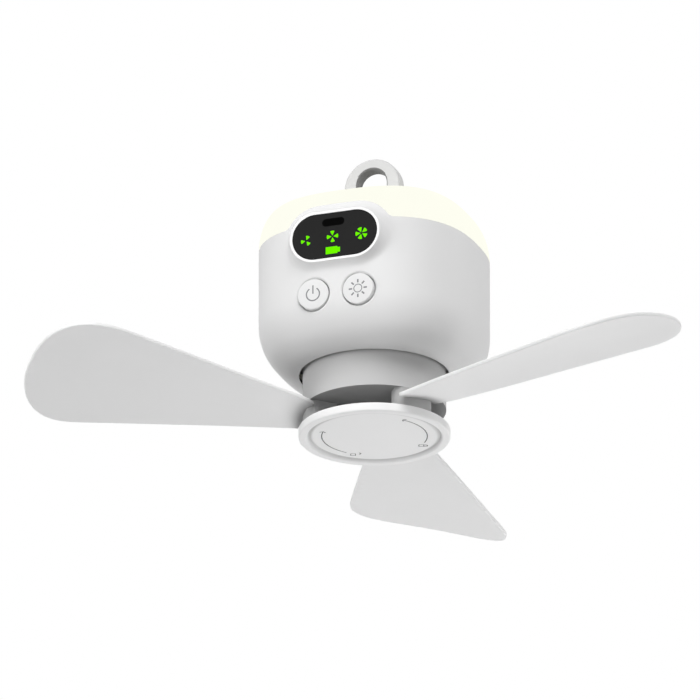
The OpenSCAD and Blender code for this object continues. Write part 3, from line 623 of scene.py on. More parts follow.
display = {
    "z": 54.5,
    "half": 10.45,           # half the window's straight part
    "radius": 12.0,
    "gap": 0.1,              # round the window
    "rim": 1.3,
    "reach": 4.4,            # how far the slope round the rim runs out
    "steep": 2.2,
    "front": -58.2,
    "ledge": -56.4,          # front of the ledge that the window lies on
    "ledgeWidth": 1.5,
    "lobe": 18.5,            # radius at which the seam passes over the display
    "lobeFillet": 4.0,
    # Distances from the window at which the mesh follows its outline
    "guides": (0.7, 1.3, 1.55, 1.85, 2.2, 2.65, 3.2, 3.9, 4.7, 5.6, 6.5, 7.5),
}
buttons = {
    "mid": -0.65,            # middle of the pair, and half the distance between them
    "x": 11.9,
    "z": 25.3,
    "hole": 8.5,
    "dish": 1.1,             # how far the shell dips round a hole
    "dishDepth": 0.9,
    "cap": 8.0,
    "faceRing": 0.6,         # share of the cap that is quite flat
    "proud": 0.1,
    "edge": 0.35,            # rounding of a button's rim
    "flange": (9.2, -50.7, -49.7),   # radius, front and back
    "stem": (1.8, -49.05),           # radius and end
    "flangeEdge": 0.2,
    "flangeRoot": 0.15,
    "guides": (0.25, 0.5, 0.8, 1.1, 1.35, 1.9, 2.8),
}
frontY = -housing["half"]


def profileAt(z):
    # Corner radius at a height, and the outward normal's two parts
    if z < housing["bellyHeight"]:
        down = 1 - z / housing["bellyHeight"]
        out = math.sqrt(max(0, 1 - down * down))
        radius = housing["cornerRadius"] - housing["bellyWidth"] * (1 - out)
        normal = (out / housing["bellyWidth"], -down / housing["bellyHeight"])
    elif z <= housing["seam"]:
        return housing["cornerRadius"], 1.0, 0.0
    else:
        up = min(1, (z - housing["seam"]) / housing["domeHeight"])
        out = math.sqrt(max(0, 1 - up * up))
        radius = housing["cornerRadius"] - housing["domeWidth"] * (1 - out)
        normal = (out / housing["domeWidth"], up / housing["domeHeight"])
    length = math.hypot(*normal)
    return radius, normal[0] / length, normal[1] / length


def planPoint(angle):
    # Point on the plan in a direction from the middle (0 is the front), and its outward normal
    s, c = np.sin(angle), np.cos(angle)
    power = housing["power"]
    size = housing["half"] / (abs(s) ** power + abs(c) ** power) ** (1 / power)
    out = np.array((np.sign(s) * abs(s) ** (power - 1), -np.sign(c) * abs(c) ** (power - 1)))
    return np.array((s * size, -c * size)), out / np.hypot(*out)


def planColumn(angle):
    # A base point and an outward direction: the skin lies profileAt(z) away from the base
    edge, out = planPoint(angle)
    return edge - housing["cornerRadius"] * out, out


def onSkin(x, z, side):
    # Point and normal of the plain skin on the front (side -1) or the back (side 1)
    halvings = 44
    radius, outward, upward = profileAt(z)
    low, high = 0.0, math.pi / 3
    for _ in range(halvings):
        middle = (low + high) / 2
        base, out = planColumn(middle)
        if base[0] + radius * out[0] < abs(x):
            low = middle
        else:
            high = middle
    y = -side * (base[1] + radius * out[1])
    return (x, y, z), (outward * out[0] * math.copysign(1, x), -side * outward * out[1], upward)


def pillDistance(x, z):
    # Distance from the window's outline, which has round ends
    return math.hypot(max(0, abs(x) - display["half"]), z - display["z"]) - display["radius"]


def pillLoop(distance):
    r = display["radius"] + distance
    half, z = display["half"], display["z"]
    steps, pieces = 44, 18
    right = arc((half, z), r, -90, 90, steps)
    left = arc((-half, z), r, 90, 270, steps)
    top = [(half - 2 * half * k / pieces, z + r) for k in range(1, pieces)]
    foot = [(-half + 2 * half * k / pieces, z - r) for k in range(1, pieces)]
    return right + top + left + foot


def withRelief(x, y, z):
    # The raised display frame and the dishes round the buttons
    d = pillDistance(x, z)
    t = min(1, max(0, (d - display["rim"]) / display["reach"]))
    lift = (1 - t) ** display["steep"]
    y = y * (1 - lift) + display["front"] * lift
    for side in (-1, 1):
        r = math.hypot(x - buttons["mid"] - side * buttons["x"], z - buttons["z"])
        t = (r - buttons["hole"]) / buttons["dish"]
        if t < 1:
            y += buttons["dishDepth"] * (1 - max(0, t)) ** 2
    return y


def sideColumns(fine, quarter):
    # Columns across one face of the housing: fine is the front or back, the others are its sides
    angle, (fineCount, coarseCount) = housing["patchAngle"], housing["columns"]
    reach, count = (angle, fineCount) if fine else (90 - angle, coarseCount)
    turn = 90 * quarter
    return [planColumn(math.radians(turn + a)) for a in np.linspace(-reach, reach, count + 1)]


def allColumns():
    around = []
    for quarter in range(4):
        around += sideColumns(quarter % 2 == 0, quarter)[:-1]
    return around


def planRings(z, radius, shares):
    # Rings from the skin at a height in to a circle; each share is how far in a ring lies
    rings = []
    skin = profileAt(z)[0]
    for base, out in allColumns():
        edge = base + skin * out
        inner = edge / np.linalg.norm(edge) * radius
        rings.append([(*(edge * (1 - k) + inner * k), z) for k in shares])
    return rings


def skinGrid(columns, heights, closed=False):
    points, normals = [], []
    for base, out in columns:
        for z in heights:
            radius, outward, upward = profileAt(z)
            points.append((*(base + radius * out), z))
            normals.append((outward * out[0], outward * out[1], upward))
    return points, normals, gridFaces(len(columns), len(heights), closed)


def bellyHeights(start, end, steps):
    angles = np.radians(np.linspace(start, end, steps + 1))
    return [housing["bellyHeight"] * (1 - math.cos(a)) for a in angles]


def domeHeights(start, end, steps, foot):
    angles = np.radians(np.linspace(start, end, steps + 1))
    return [max(foot, housing["seam"] + housing["domeHeight"] * math.sin(a)) for a in angles]


def columnX(column, z):
    base, out = column
    return base[0] + profileAt(z)[0] * out[0]


def mirrored(line):
    return [(-x, z) for x, z in reversed(line)]


def patchBorder(heights, top):
    # Closed loop: along the foot, up the right side, back along the top, down the left side
    columns = sideColumns(True, 0)
    foot = [(columnX(column, heights[0]), heights[0]) for column in columns]
    right = [(columnX(columns[-1], z), z) for z in heights[1:]]
    return foot + right + top + mirrored(right)


def lobeEdge(gap):
    # The line where the shell rises over the display, from right to left
    d, pieces = display, 16
    seam, fillet = housing["seam"], d["lobeFillet"]
    reach = d["lobe"] + fillet
    rise = seam + fillet - d["z"]
    x = d["half"] + math.sqrt(reach ** 2 - rise ** 2)
    turn = math.degrees(math.atan2(rise, x - d["half"]))
    half = arc((x, seam + fillet), fillet - gap, 270, 180 + turn, 8)
    half += arc((d["half"], d["z"]), d["lobe"] + gap, turn, 90, 30)[1:]
    top = d["z"] + d["lobe"] + gap
    straight = [(d["half"] * (1 - 2 * k / pieces), top) for k in range(1, pieces)]
    end = columnX(sideColumns(True, 0)[-1], seam)
    outer = [(x + (end - x) * k / 5, seam + gap) for k in (4, 3, 2, 1)]
    return outer + half + straight + mirrored(half) + mirrored(outer)


def circleLoop(x, z, r, steps):
    return arc((x, z), r, 0, 360 - 360 / steps, steps - 1)


def slotLoop():
    # The hole round the charging socket
    socketLow, socketHigh = (np.array(v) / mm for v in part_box("charge_socket"))
    z = (socketLow[2] + socketHigh[2]) / 2 - mouthZ
    r = (socketHigh[2] - socketLow[2]) / 2 + housing["socketGap"]
    half = (socketHigh[0] - socketLow[0]) / 2 + housing["socketGap"] - r
    return arc((half, z), r, -90, 90, 12) + arc((-half, z), r, 90, 270, 12)


def patchSkin(border, holes, rings, spacing, side, relief):
    flat, faces = fillPatch(border, holes, rings, spacing)
    points, normals = [], []
    for x, z in flat:
        p, n = onSkin(x, z, side)
        points.append((x, withRelief(x, p[1], z) if relief else p[1], z))
        normals.append(n)
    if side > 0:
        faces = faces[:, ::-1]
    return points, normals, [tuple(f) for f in faces]


def thickSkin(parts, wall, pocket=False):
    # Welds the outer parts, adds an inner skin a wall away and closes every open edge;
    # with a pocket, the display's opening gets its ledge
    points, normals, faces = [], [], []
    for p, n, f in parts:
        first = len(points)
        points += list(p)
        normals += list(n)
        faces += [tuple(int(i) + first for i in face) for face in f]
    points, faces, normals = weld(points, faces, normals)
    inner = points - wall * normals
    count = len(points)
    everything = list(map(tuple, points))
    rest = [tuple(i + count for i in reversed(f)) for f in faces]
    edges = openEdges(faces)
    steps = {}
    if pocket:
        d, nearGap = display, 0.03
        for a, b in edges:
            for v in (a, b):
                x, y, z = points[v]
                if v in steps or y > 0 or abs(pillDistance(x, z) - d["gap"]) > nearGap:
                    continue
                # Narrow the opening by its ledge
                cx = max(-d["half"], min(d["half"], x))
                k = (d["radius"] - d["ledgeWidth"]) / (d["radius"] + d["gap"])
                nx, nz = cx + (x - cx) * k, d["z"] + (z - d["z"]) * k
                steps[v] = [(x, d["ledge"], z), (nx, d["ledge"], nz)]
                inner[v] = (nx, onSkin(nx, nz, -1)[0][1] + wall, nz)
    everything += list(map(tuple, inner))
    chain = {}
    for v, extra in steps.items():
        chain[v] = [v]
        for p in extra:
            chain[v].append(len(everything))
            everything.append(p)
        chain[v].append(v + count)
    for a, b in edges:
        first, second = chain.get(a, [a, a + count]), chain.get(b, [b, b + count])
        for i in range(len(first) - 1):
            rest.append((second[i], first[i], first[i + 1], second[i + 1]))
    return everything, faces + rest


def mouthLip():
    # Ring from the skin's foot in to the opening
    lip, normals = [], []
    inward, down = housing["undercut"]
    rings = planRings(0, housing["mouth"], (0, 0.5, 1))
    for edge, middle, mouth in rings:
        lip += [mouth, middle, edge]
        x, y = mouth[0] / housing["mouth"], mouth[1] / housing["mouth"]
        normals += [(-inward * x, -inward * y, -down), (0, 0, -1), (0, 0, -1)]
    return lip, normals, gridFaces(len(rings), 3, closed=True)


def shellFront(heights):
    # With the display, the buttons and the seam's lobe
    z, hole, turns = buttons["z"], buttons["hole"], 72
    holes = [pillLoop(display["gap"])]
    rings = [pillLoop(v) for v in display["guides"]]
    for side in (-1, 1):
        x = buttons["mid"] + side * buttons["x"]
        holes.append(circleLoop(x, z, hole, turns))
        rings += [circleLoop(x, z, hole + v, turns) for v in buttons["guides"]]
    border = patchBorder(heights, lobeEdge(0))
    return patchSkin(border, holes, rings, housing["frontSpacing"], -1, True)


def shellBack(heights):
    # With the charging socket and a straight seam
    seam, pieces = housing["seam"], 48
    end = columnX(sideColumns(True, 0)[-1], seam)
    straight = [(end * (1 - 2 * k / pieces), seam) for k in range(1, pieces)]
    border = patchBorder(heights, straight)
    return patchSkin(border, [slotLoop()], [], housing["backSpacing"], 1, False)


def makeShell():
    seam, belly, wallRows = housing["seam"], housing["bellyHeight"], 26
    foot = bellyHeights(0, housing["patchFoot"], 18)
    upper = bellyHeights(housing["patchFoot"], 90, 8)
    upper += [belly + (seam - belly) * k / wallRows for k in range(1, wallRows + 1)]
    parts = [skinGrid(allColumns(), foot, closed=True), mouthLip()]
    parts += [skinGrid(sideColumns(False, quarter), upper) for quarter in (1, 3)]
    parts += [shellFront(upper), shellBack(upper)]
    points, faces = thickSkin(parts, housing["wall"], pocket=True)
    shell = addPiece("shell", points, faces, "housing", "white_plastic", ["body_shell"])
    shell.data.materials[0] = finishes["shell"]
    shell.data.materials.append(finishes["rim"])
    shell.data.materials.append(finishes["inside"])
    # The display's frame is glossier and painted paler as a painted highlight, and the inside round
    # the mouth is painted near black as painted shade
    clear, lean = 0.3, 0.3
    for face in shell.data.polygons:
        x, y, z = face.center / mm
        z -= mouthZ
        beforeLedge = y < display["ledge"] - clear
        looksIn = x * face.normal.x + y * face.normal.y < 0 or face.normal.z > lean
        if beforeLedge and pillDistance(x, z) < display["rim"]:
            face.material_index = 1
        elif z < housing["paintedShadeBelow"] and looksIn:
            face.material_index = 2


def makeDome():
    foot = housing["seam"] + housing["seamGap"]
    low = domeHeights(0, housing["patchTop"], 14, foot)
    high = domeHeights(housing["patchTop"], 90, 16, foot)
    parts = [skinGrid(allColumns(), high, closed=True)]
    # Flat top, in to the hole round the loop's stem
    topRings = planRings(high[-1], housing["stemHole"], (0, 0.3, 0.6, 1))
    top = sum(topRings, [])
    parts.append((top, [(0, 0, 1)] * len(top), gridFaces(len(topRings), 4, closed=True)))
    for quarter in (1, 2, 3):
        parts.append(skinGrid(sideColumns(quarter == 2, quarter), low))
    # Front: the lobe from left to right, up the right side, back along the top, down the left
    columns = sideColumns(True, 0)
    side = [(columnX(columns[-1], z), z) for z in low[:-1]]
    upperEdge = [(columnX(column, low[-1]), low[-1]) for column in reversed(columns)]
    border = list(reversed(lobeEdge(housing["seamGap"]))) + side + upperEdge + mirrored(side)
    parts.append(patchSkin(border, [], [], housing["domeSpacing"], -1, False))
    points, faces = thickSkin(parts, housing["wall"])
    addPiece("dome", points, faces, "housing", "lamp_diffuser", ["lamp_dome"])


makeShell()
makeDome()
print("housing made")


# Push buttons and their signs
def ribbon(path, width, closed=False):
    # Flat strip along a path, as 2-D quads: left and right points in turn
    path = np.asarray(path, float)
    ahead = np.roll(path, -1, axis=0) - np.roll(path, 1, axis=0)
    if not closed:
        ahead[0], ahead[-1] = path[1] - path[0], path[-1] - path[-2]
    ahead /= np.linalg.norm(ahead, axis=1)[:, None]
    side = np.stack([-ahead[:, 1], ahead[:, 0]], axis=1) * width / 2
    points = np.stack([path + side, path - side], axis=1).reshape(-1, 2)
    count = len(path)
    faces = []
    for i in range(count if closed else count - 1):
        j = (i + 1) % count
        faces.append((2 * i, 2 * i + 1, 2 * j + 1, 2 * j))
    return points, faces


def slab(flat, faces, place, low, high):
    # Closed plate over 2-D faces; place turns (u, v, height) into a point
    count = len(flat)
    points = [place(u, v, high) for u, v in flat] + [place(u, v, low) for u, v in flat]
    result = [tuple(f) for f in faces] + [tuple(i + count for i in reversed(f)) for f in faces]
    result += [(b, a, a + count, b + count) for a, b in openEdges(faces)]
    return points, result


buttonSigns = {
    "line": 0.65,            # power sign: a ring that is open at the top, and a bar
    "ring": 3.45,
    "ringOpening": 33,       # degrees each side of the top
    "barTop": 4.7,
    "barFoot": 0.2,
    "sun": 2.1,              # light sign: a sun with its rays
    "sunLine": 0.45,
    "rayLine": 0.8,
    "rays": (3.0, 4.8),
    "rayCount": 8,
    "proud": 0.02,
    "thick": 0.12,
}


def powerSign():
    s = buttonSigns
    ring = arc((0, 0), s["ring"], 90 + s["ringOpening"], 450 - s["ringOpening"], 48)
    return [ribbon(ring, s["line"]), ribbon([(0, s["barTop"]), (0, s["barFoot"])], s["line"])]


def lightSign():
    s = buttonSigns
    shapes = [ribbon(circleLoop(0, 0, s["sun"], 48), s["sunLine"], closed=True)]
    for k in range(s["rayCount"]):
        a = math.radians(360 * k / s["rayCount"])
        ray = [(r * math.cos(a), r * math.sin(a)) for r in s["rays"]]
        shapes.append(ribbon(ray, s["rayLine"]))
    return shapes


def makeButton(kind, side, shapes):
    x, z, r = buttons["mid"] + side * buttons["x"], buttons["z"], buttons["cap"]
    face = frontY - buttons["proud"]
    flange, front, back = buttons["flange"]
    stem, end = buttons["stem"]
    edge = buttons["flangeEdge"]
    profile = roundCorners([
        (0, face), (r * buttons["faceRing"], face), (r, face, buttons["edge"]),
        (r, front, buttons["flangeRoot"]), (flange, front, edge), (flange, back, edge),
        (stem, back, edge), (stem, end, edge), (0, end),
    ], 5)
    points, faces = lathe([(a, -b) for a, b in reversed(profile)], 96)
    points = [(x + px, -pz, z + py) for px, py, pz in points]
    body = f"{kind}_key"
    addPiece(f"{kind}Key", points, faces, body, "white_plastic", [f"{kind}_button"], 50)

    def place(u, v, depth):
        return (x + u, face - depth, z + v)

    parts = [slab(f, q, place, -buttonSigns["thick"], buttonSigns["proud"]) for f, q in shapes]
    points, faces = join(parts)
    addPiece(f"{kind}Sign", points, faces, body, "sign_grey", [f"{kind}_icon"])


makeButton("power", -1, powerSign())
makeButton("light", 1, lightSign())
print("buttons made")


hangLoop = {
    "outer": 14.7,           # radius and height of the bow's two arcs
    "outerZ": 101.3,
    "inner": 7.7,
    "innerZ": 102.5,
    "half": 4.0,             # half its thickness
    "soft": 1.3,             # rounding along its edges
    "pivotZ": 90.0,
    "footAngle": 6,          # where the rounding of a leg's foot starts, degrees
    "footSteps": 9,
    "legSteps": 9,
    "bowSteps": 60,
    "ringCount": 32,         # points round the band
    "roundest": (0.98, 0.9),  # shares of its half thickness and half width that rounding may take
    "openingDepth": 4,       # faces that look in from further out than this get darker painted shade
}


def makeLoop():
    # Each station is an inner and an outer point across the band, and half its thickness there
    s = hangLoop
    stations = []
    for a in np.radians(np.linspace(s["footAngle"], 90, s["footSteps"])):
        z = s["pivotZ"] - s["half"] * math.cos(a)
        stations.append(((s["inner"], z), (s["outer"], z), s["half"] * math.sin(a)))
    for k in range(1, s["legSteps"]):
        t = k / s["legSteps"]
        innerZ, outerZ = [s["pivotZ"] + (z - s["pivotZ"]) * t for z in (s["innerZ"], s["outerZ"])]
        stations.append(((s["inner"], innerZ), (s["outer"], outerZ), s["half"]))
    otherLeg = [((-i[0], i[1]), (-o[0], o[1]), half) for i, o, half in reversed(stations)]
    for a in np.radians(np.linspace(0, 180, s["bowSteps"] + 1)):
        u, v = math.cos(a), math.sin(a)
        inner = (s["inner"] * u, s["innerZ"] + s["inner"] * v)
        outer = (s["outer"] * u, s["outerZ"] + s["outer"] * v)
        stations.append((inner, outer, s["half"]))
    stations += otherLeg
    points, ringCount = [], s["ringCount"]
    thickShare, widthShare = s["roundest"]
    for inner, outer, half in stations:
        inner, outer = np.array(inner), np.array(outer)
        width = np.linalg.norm(outer - inner) / 2
        across = (outer - inner) / (2 * width)
        centre = (inner + outer) / 2
        soft = min(s["soft"], half * thickShare, width * widthShare)
        for corner, start in (((1, 1), 0), ((-1, 1), 90), ((-1, -1), 180), ((1, -1), 270)):
            for k in range(ringCount // 4):
                a = math.radians(start + 90 * k / (ringCount // 4 - 1))
                u = corner[0] * (width - soft) + soft * math.cos(a)
                v = corner[1] * (half - soft) + soft * math.sin(a)
                p = centre + across * u
                points.append((p[0], v, p[1]))
    faces = []
    for i in range(len(stations) - 1):
        for k in range(ringCount):
            a, b = i * ringCount + k, i * ringCount + (k + 1) % ringCount
            faces.append((a, b, b + ringCount, a + ringCount))
    faces.append(tuple(reversed(range(ringCount))))
    end = (len(stations) - 1) * ringCount
    faces.append(tuple(range(end, end + ringCount)))
    ring = addPiece("hangingLoop", points, faces, "hanger", "white_plastic", ["hang_loop"], 60)
    # The loop's finish is darker as painted shade, and its inner faces get darker painted shade
    ring.data.materials[0] = finishes["loop"]
    ring.data.materials.append(finishes["loopInnerShade"])
    # Painted shade on the faces that look into the loop's opening
    middle = (s["pivotZ"] + s["innerZ"]) / 2
    for face in ring.data.polygons:
        x, _, z = face.center / mm
        above = max(z - mouthZ - middle, 0)
        if x * face.normal.x + above * face.normal.z < -s["openingDepth"]:
            face.material_index = 1


makeLoop()
print("loop made")


blade = {
    "first": 97.8,                           # turn of the third blade, degrees
    "inner": 33.9,                           # where it leaves the root
    "tip": 180.5,
    "tipV": 2.0,
    # Its two edges: start, slope, where the rounding starts, its power, how it draws in at the root
    "lead": (-2.16, 0.329, 140.5, 2.3, 0.02),
    "trail": (-14.37, -0.146, 145.5, 2.3, 0),
    "easeFrom": 43.9,                        # drawn in up to here
    "height": -22.97,
    "pitch": (14.3, 3.04, -0.965),           # degrees in the middle, then how it goes on outward
    "pitchFrom": (125.0, 50.0),              # that middle, and the unit outward
    "rise": 2.65,                            # degrees
    "camber": (3.7, 40.0),                   # drop, at this distance from the blade's line
    "half": 1.0,                             # half its thickness
    "edge": ((0.55, 1), (0.2, 0.86), (0.0, 0.45)),   # inset, and share of that half
    "spacing": 3.2,                          # how far apart the points lie that fill its faces
    "rootRadius": 35.9,
    "rootTurn": (-30, 9),                    # its two sides, degrees from the blade's line
    "rootInside": (27.6, 21),                # radius of its inner corners
    "rootCorner": 4.0,
    "rootTop": -18.4,
    "rootFoot": -28.4,
    "rootEdge": ((0.0, 0.8), (0.1, 0.4), (0.3, 0.12), (0.6, 0)),     # inset, height over its foot
    "rootSpacing": 1.8,
    "rootSideSpacing": 1.2,
}


def bladePoint(u, v, n):
    # u goes along the blade, v across it and n through it
    middle, unit = blade["pitchFrom"]
    s = (u - middle) / unit
    p = blade["pitch"]
    a = math.radians(p[0] + p[1] * s + p[2] * s * s)
    z = blade["height"] + v * math.sin(a) + u * math.tan(math.radians(blade["rise"]))
    drop, reach = blade["camber"]
    z -= drop * (v / reach) ** 2
    return (u, v * math.cos(a) - n * math.sin(a), z + n * math.cos(a))


def bladeEdge(edge):
    # From the root out to the tip: straight, then rounded over
    steps, tipSteps = 44, 26
    start, slope, roundFrom, power, ease = edge
    line = []
    for u in np.linspace(blade["inner"], roundFrom, steps + 1)[:-1]:
        line.append((u, start + slope * u - ease * max(0, blade["easeFrom"] - u) ** 2))
    for k in range(tipSteps + 1):
        a = math.pi / 2 * k / tipSteps
        u = roundFrom + (blade["tip"] - roundFrom) * math.sin(a) ** (2 / power)
        far = (start + slope * u - blade["tipV"]) * max(0, math.cos(a)) ** (2 / power)
        line.append((u, blade["tipV"] + far))
    return line


def inset(loopPoints, amount):
    # Moves a closed loop inward
    path = np.asarray(loopPoints, float)
    ahead = np.roll(path, -1, axis=0) - np.roll(path, 1, axis=0)
    ahead /= np.linalg.norm(ahead, axis=1)[:, None]
    return path + np.stack([-ahead[:, 1], ahead[:, 0]], axis=1) * amount


def softPlate(outline, rims, spacing, place):
    # Closed plate; each rim is a distance in from the outline and a height, from the top down
    parts = []
    for (amount, height), flip in ((rims[0], False), (rims[-1], True)):
        flat, faces = fillPatch([tuple(p) for p in inset(outline, amount)], [], [], spacing)
        faces = [tuple(f[::-1]) if flip else tuple(f) for f in faces]
        parts.append(([place(u, v, height) for u, v in flat], faces))
    count = len(outline)
    points, faces = [], []
    for amount, height in rims:
        points += [place(u, v, height) for u, v in inset(outline, amount)]
    for row in range(len(rims) - 1):
        for k in range(count):
            a, b = row * count + k, row * count + (k + 1) % count
            faces.append((b, a, a + count, b + count))
    parts.append((points, faces))
    return join(parts)


def spaced(outline, gap):
    # Adds points to a closed outline, so that none lie further apart than the gap
    result = []
    for a, b in zip(outline, outline[1:] + outline[:1]):
        pieces = max(1, math.ceil(math.dist(a, b) / gap))
        a, b = np.array(a), np.array(b)
        result += [tuple(a + (b - a) * k / pieces) for k in range(pieces)]
    return result


def bladePlate():
    trail, lead = bladeEdge(blade["trail"]), bladeEdge(blade["lead"])
    outline = trail + list(reversed(lead))[1:]
    outline += [(blade["inner"], v) for v in np.linspace(lead[0][1], trail[0][1], 8)[1:-1]]
    rims = [(amount, blade["half"] * share) for amount, share in blade["edge"]]
    rims += [(amount, -height) for amount, height in reversed(rims)]
    return softPlate(outline, rims, blade["spacing"], bladePoint)


def bladeRoot():
    b = blade
    corner, radius = b["rootCorner"], b["rootRadius"]
    (low, high), (lowInside, highInside) = b["rootTurn"], b["rootInside"]

    def at(r, degrees):
        a = math.radians(degrees)
        return (r * math.cos(a), r * math.sin(a))

    lean = math.degrees(math.asin(corner / (radius - corner)))
    outline = [at(lowInside, low)]
    outline += arc(at(radius - corner, low + lean), corner, low - 90, low + lean, 10)
    outline += [at(radius, a) for a in np.linspace(low + lean, high - lean, 18)[1:-1]]
    outline += arc(at(radius - corner, high - lean), corner, high - lean, high + 90, 10)
    outline.append(at(highInside, high))
    rims = [(0.0, b["rootTop"])] + [(amount, b["rootFoot"] + up) for amount, up in b["rootEdge"]]
    outline = spaced(outline, b["rootSideSpacing"])
    return softPlate(outline, rims, b["rootSpacing"], lambda u, v, z: (u, v, z))


def makeBlades():
    points, faces = weld(*join([bladePlate(), bladeRoot()]))
    for k in range(3):
        a = math.radians(blade["first"] + 120 * (k + 1))
        c, s = math.cos(a), math.sin(a)
        turned = [(x * c - y * s, x * s + y * c, z) for x, y, z in points]
        name, node = f"bladePlate{k + 1}", f"blade_{k + 1}"
        addPiece(name, turned, faces, "rotor", "blade_plastic", [node], 32)


makeBlades()
print("blades made")


cap = {
    "radius": 38.0,
    "foot": -33.3,
    "top": -28.7,
    "face": -32.1,
    "dish": 31.7,
    "dishEdge": 4.0,         # the dish is quite flat up to this far from its edge
    "valley": (33.0, -31.0),  # shallow channel between the dish and the rim
    "rim": 34.1,
    "inside": 35.6,
    "floor": -29.9,
    "stem": 6.0,
    "stemTop": -21.0,
}


def makeCap():
    c = cap
    # From the middle of the face out to the rim, and back in to the stem; last number: rounding
    profile = roundCorners([
        (0, c["face"]), (c["dish"], c["face"], 1.6), (*c["valley"], 0.8),
        (c["rim"], c["foot"], 0.9), (c["radius"], c["foot"], 1.0), (c["radius"], c["top"], 0.5),
        (c["inside"], c["top"], 0.3), (c["inside"], c["floor"], 0.8),
        (c["stem"], c["floor"], 0.8), (c["stem"], c["stemTop"], 0.4), (0, c["stemTop"]),
    ], 8)
    dish = [(r, c["face"]) for r in np.linspace(0, c["dish"] - c["dishEdge"], 8)]
    points, faces = lathe(dish + profile[1:], 256)
    cover = addPiece("twistCap", points, faces, "cap", "white_plastic", ["hub_cap"], 50)
    # The cap's finish is a paler copy of the white plastic with painted light, and painted shade in
    # its channel
    cover.data.materials[0] = finishes["cap"]


capSigns = {
    "radius": 26.4,
    "line": 0.55,
    "barb": (1.3, 1.5),      # how far an arrow's barbs go back and out
    "arrows": ((142, 214), (39, -38)),               # start and end, degrees
    "padlocks": ((131, 26.9, True), (47.5, 27.6, False)),    # turn, radius, open or shut
    "lockLine": 0.6,
    "lockUp": 20,            # which way the shackles point, degrees
    "lockBody": (1.15, -2.25, 0.15),                 # half its width, foot and top
    "shackle": 0.9,
    "shackleShut": (0, 1.2),                         # middle of its bow
    "shackleOpen": (1.4, 1.9),
    "proud": 0.02,
    "thick": 0.1,
}


def arrowShapes(start, end):
    # Curved line with an open head at its end
    r, line = capSigns["radius"], capSigns["line"]
    shapes = [ribbon(arc((0, 0), r, start, end, 40), line)]
    a = math.radians(end)
    out = np.array((math.cos(a), math.sin(a)))
    way = np.array((-out[1], out[0])) * math.copysign(1, end - start)
    tip = r * out
    back, aside = capSigns["barb"]
    for side in (-1, 1):
        shapes.append(ribbon([tip, tip - way * back + out * side * aside], line))
    return shapes


def padlockShapes(degrees, radius, isOpen):
    # Body and shackle, drawn upright and then turned
    c = capSigns
    a, up = math.radians(degrees), math.radians(c["lockUp"])
    centre = np.array((radius * math.cos(a), radius * math.sin(a)))
    high = np.array((math.cos(up), math.sin(up)))
    along = np.array((high[1], -high[0]))

    def at(u, v):
        return tuple(centre + along * u + high * v)

    half, foot, top = c["lockBody"]
    r = c["shackle"]
    u, v = c["shackleOpen"] if isOpen else c["shackleShut"]
    body = [at(-half, foot), at(half, foot), at(half, top), at(-half, top)]
    bow = [at(u + r * math.cos(t), v + r * math.sin(t)) for t in np.linspace(math.pi, 0, 10)]
    if not isOpen:
        bow = [at(-r, top)] + bow + [at(r, top)]
    return [ribbon(body, c["lockLine"], closed=True), ribbon(bow, c["lockLine"])]


def makeCapSigns():
    shapes = []
    for arrow, padlock in zip(capSigns["arrows"], capSigns["padlocks"]):
        shapes += arrowShapes(*arrow) + padlockShapes(*padlock)

    def place(u, v, depth):
        return (u, v, cap["face"] - depth)

    parts = []
    for f, q in shapes:
        points, faces = slab(f, q, place, -capSigns["thick"], capSigns["proud"])
        parts.append((points, [tuple(reversed(face)) for face in faces]))
    points, faces = join(parts)
    signs = addPiece("capSigns", points, faces, "cap", "sign_grey", ["cap_signs"])
    signs.data.materials[0] = finishes["capSign"]


makeCap()
makeCapSigns()
print("hub cap made")


studio = {
    "floorDrop": 1.2,        # metres below the fan
    "floorRadius": 1.3,
    "floorColours": ((0.86, 0.86, 0.86), (0.84, 0.84, 0.84)),
    "floorClouds": 6,
    "floorRoughness": 0.9,
    "floorGlow": 0.5,
    "ambient": 0.04,
    "aim": 20,               # height that the lamps look at, mm above the mouth
    "lights": {
        # Degrees round from the display, degrees up, metres away, metres across, watts
        "key": (40, 45, 2.2, 1.6, 29),
        "front": (10, 35, 2.2, 1.6, 14),
        "left": (-45, 0, 2.2, 1.6, 30),
        "topLeft": (-70, 50, 2.2, 1.6, 4),
        "right": (65, -14, 2.2, 1.6, 10.5),
        "rim": (142, 5, 2.2, 1.6, 15),
        "leftRim": (-115, 10, 2.2, 1.6, 2),
        "behind": (160, -60, 1.0, 0.9, 3.3),
        "back": (180, -30, 1.0, 0.9, 1.1),
    },
}


def seenRays(tree):
    # 1 for rays from the camera, off a mirror or through glass
    path = tree.nodes.new("ShaderNodeLightPath")
    seen = path.outputs["Is Camera Ray"]
    for name in ("Is Glossy Ray", "Is Transmission Ray"):
        most = tree.nodes.new("ShaderNodeMath")
        most.operation = "MAXIMUM"
        tree.links.new(seen, most.inputs[0])
        tree.links.new(path.outputs[name], most.inputs[1])
        seen = most.outputs[0]
    return seen


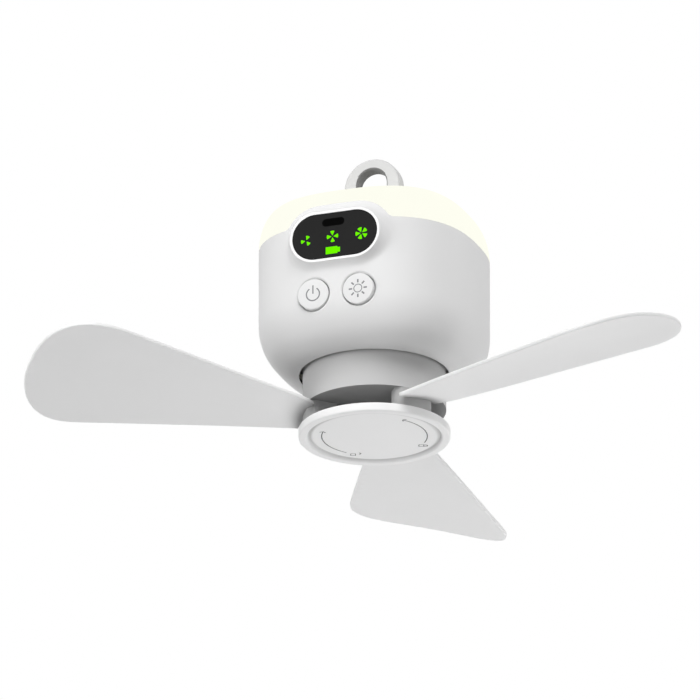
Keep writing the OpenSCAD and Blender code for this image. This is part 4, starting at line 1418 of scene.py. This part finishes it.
def makeFloor():
    z = cadLow.z - studio["floorDrop"]
    points = [(x, y, z) for x, y in circleLoop(0, 0, studio["floorRadius"], 64)]
    mesh = bpy.data.meshes.new("floor")
    mesh.from_pydata(points, [], [tuple(range(len(points)))])
    floor = bpy.data.objects.new("floor", mesh)
    scene.collection.objects.link(floor)
    material, tree, shader, place = startMaterial("paleFloor")
    colour = mixed(tree, noise(tree, place, studio["floorClouds"]), *studio["floorColours"])
    tree.links.new(colour, shader.inputs["Base Color"])
    shader.inputs["Roughness"].default_value = studio["floorRoughness"]
    glow = tree.nodes.new("ShaderNodeMath")
    glow.operation = "MULTIPLY"
    glow.inputs[1].default_value = studio["floorGlow"]
    tree.links.new(seenRays(tree), glow.inputs[0])
    shader.inputs["Emission Color"].default_value = (1, 1, 1, 1)
    tree.links.new(glow.outputs[0], shader.inputs["Emission Strength"])
    # From below the floor is clear, so that it hides nothing
    clear = tree.nodes.new("ShaderNodeBsdfTransparent")
    side = tree.nodes.new("ShaderNodeNewGeometry")
    mix = tree.nodes.new("ShaderNodeMixShader")
    output = [n for n in tree.nodes if n.type == "OUTPUT_MATERIAL"][0]
    tree.links.new(side.outputs["Backfacing"], mix.inputs[0])
    tree.links.new(shader.outputs[0], mix.inputs[1])
    tree.links.new(clear.outputs[0], mix.inputs[2])
    tree.links.new(mix.outputs[0], output.inputs[0])
    mesh.materials.append(material)


def makeWorld():
    # White to look at, but it lights the fan only faintly
    world = bpy.data.worlds.new("studio")
    scene.world = world
    world.use_nodes = True
    tree = world.node_tree
    tree.nodes.clear()
    output = tree.nodes.new("ShaderNodeOutputWorld")
    mix = tree.nodes.new("ShaderNodeMixShader")
    tree.links.new(seenRays(tree), mix.inputs[0])
    for socket, strength in ((1, studio["ambient"]), (2, 1)):
        background = tree.nodes.new("ShaderNodeBackground")
        background.inputs["Color"].default_value = (1, 1, 1, 1)
        background.inputs["Strength"].default_value = strength
        tree.links.new(background.outputs[0], mix.inputs[socket])
    tree.links.new(mix.outputs[0], output.inputs[0])


def makeLights():
    middle = Vector((0, 0, (mouthZ + studio["aim"]) * mm))
    for name, (azimuth, height, distance, size, power) in studio["lights"].items():
        a, e = math.radians(azimuth), math.radians(height)
        away = Vector((math.sin(a) * math.cos(e), -math.cos(a) * math.cos(e), math.sin(e)))
        data = bpy.data.lights.new(name, "AREA")
        data.shape = "DISK"
        data.size = size
        data.energy = power
        lamp = bpy.data.objects.new(name, data)
        scene.collection.objects.link(lamp)
        lamp.location = middle + away * distance
        lamp.rotation_mode = "QUATERNION"
        lamp.rotation_quaternion = (-away).to_track_quat("-Z", "Y")
        lamp.visible_camera = False


makeFloor()
makeWorld()
makeLights()
print("studio made")
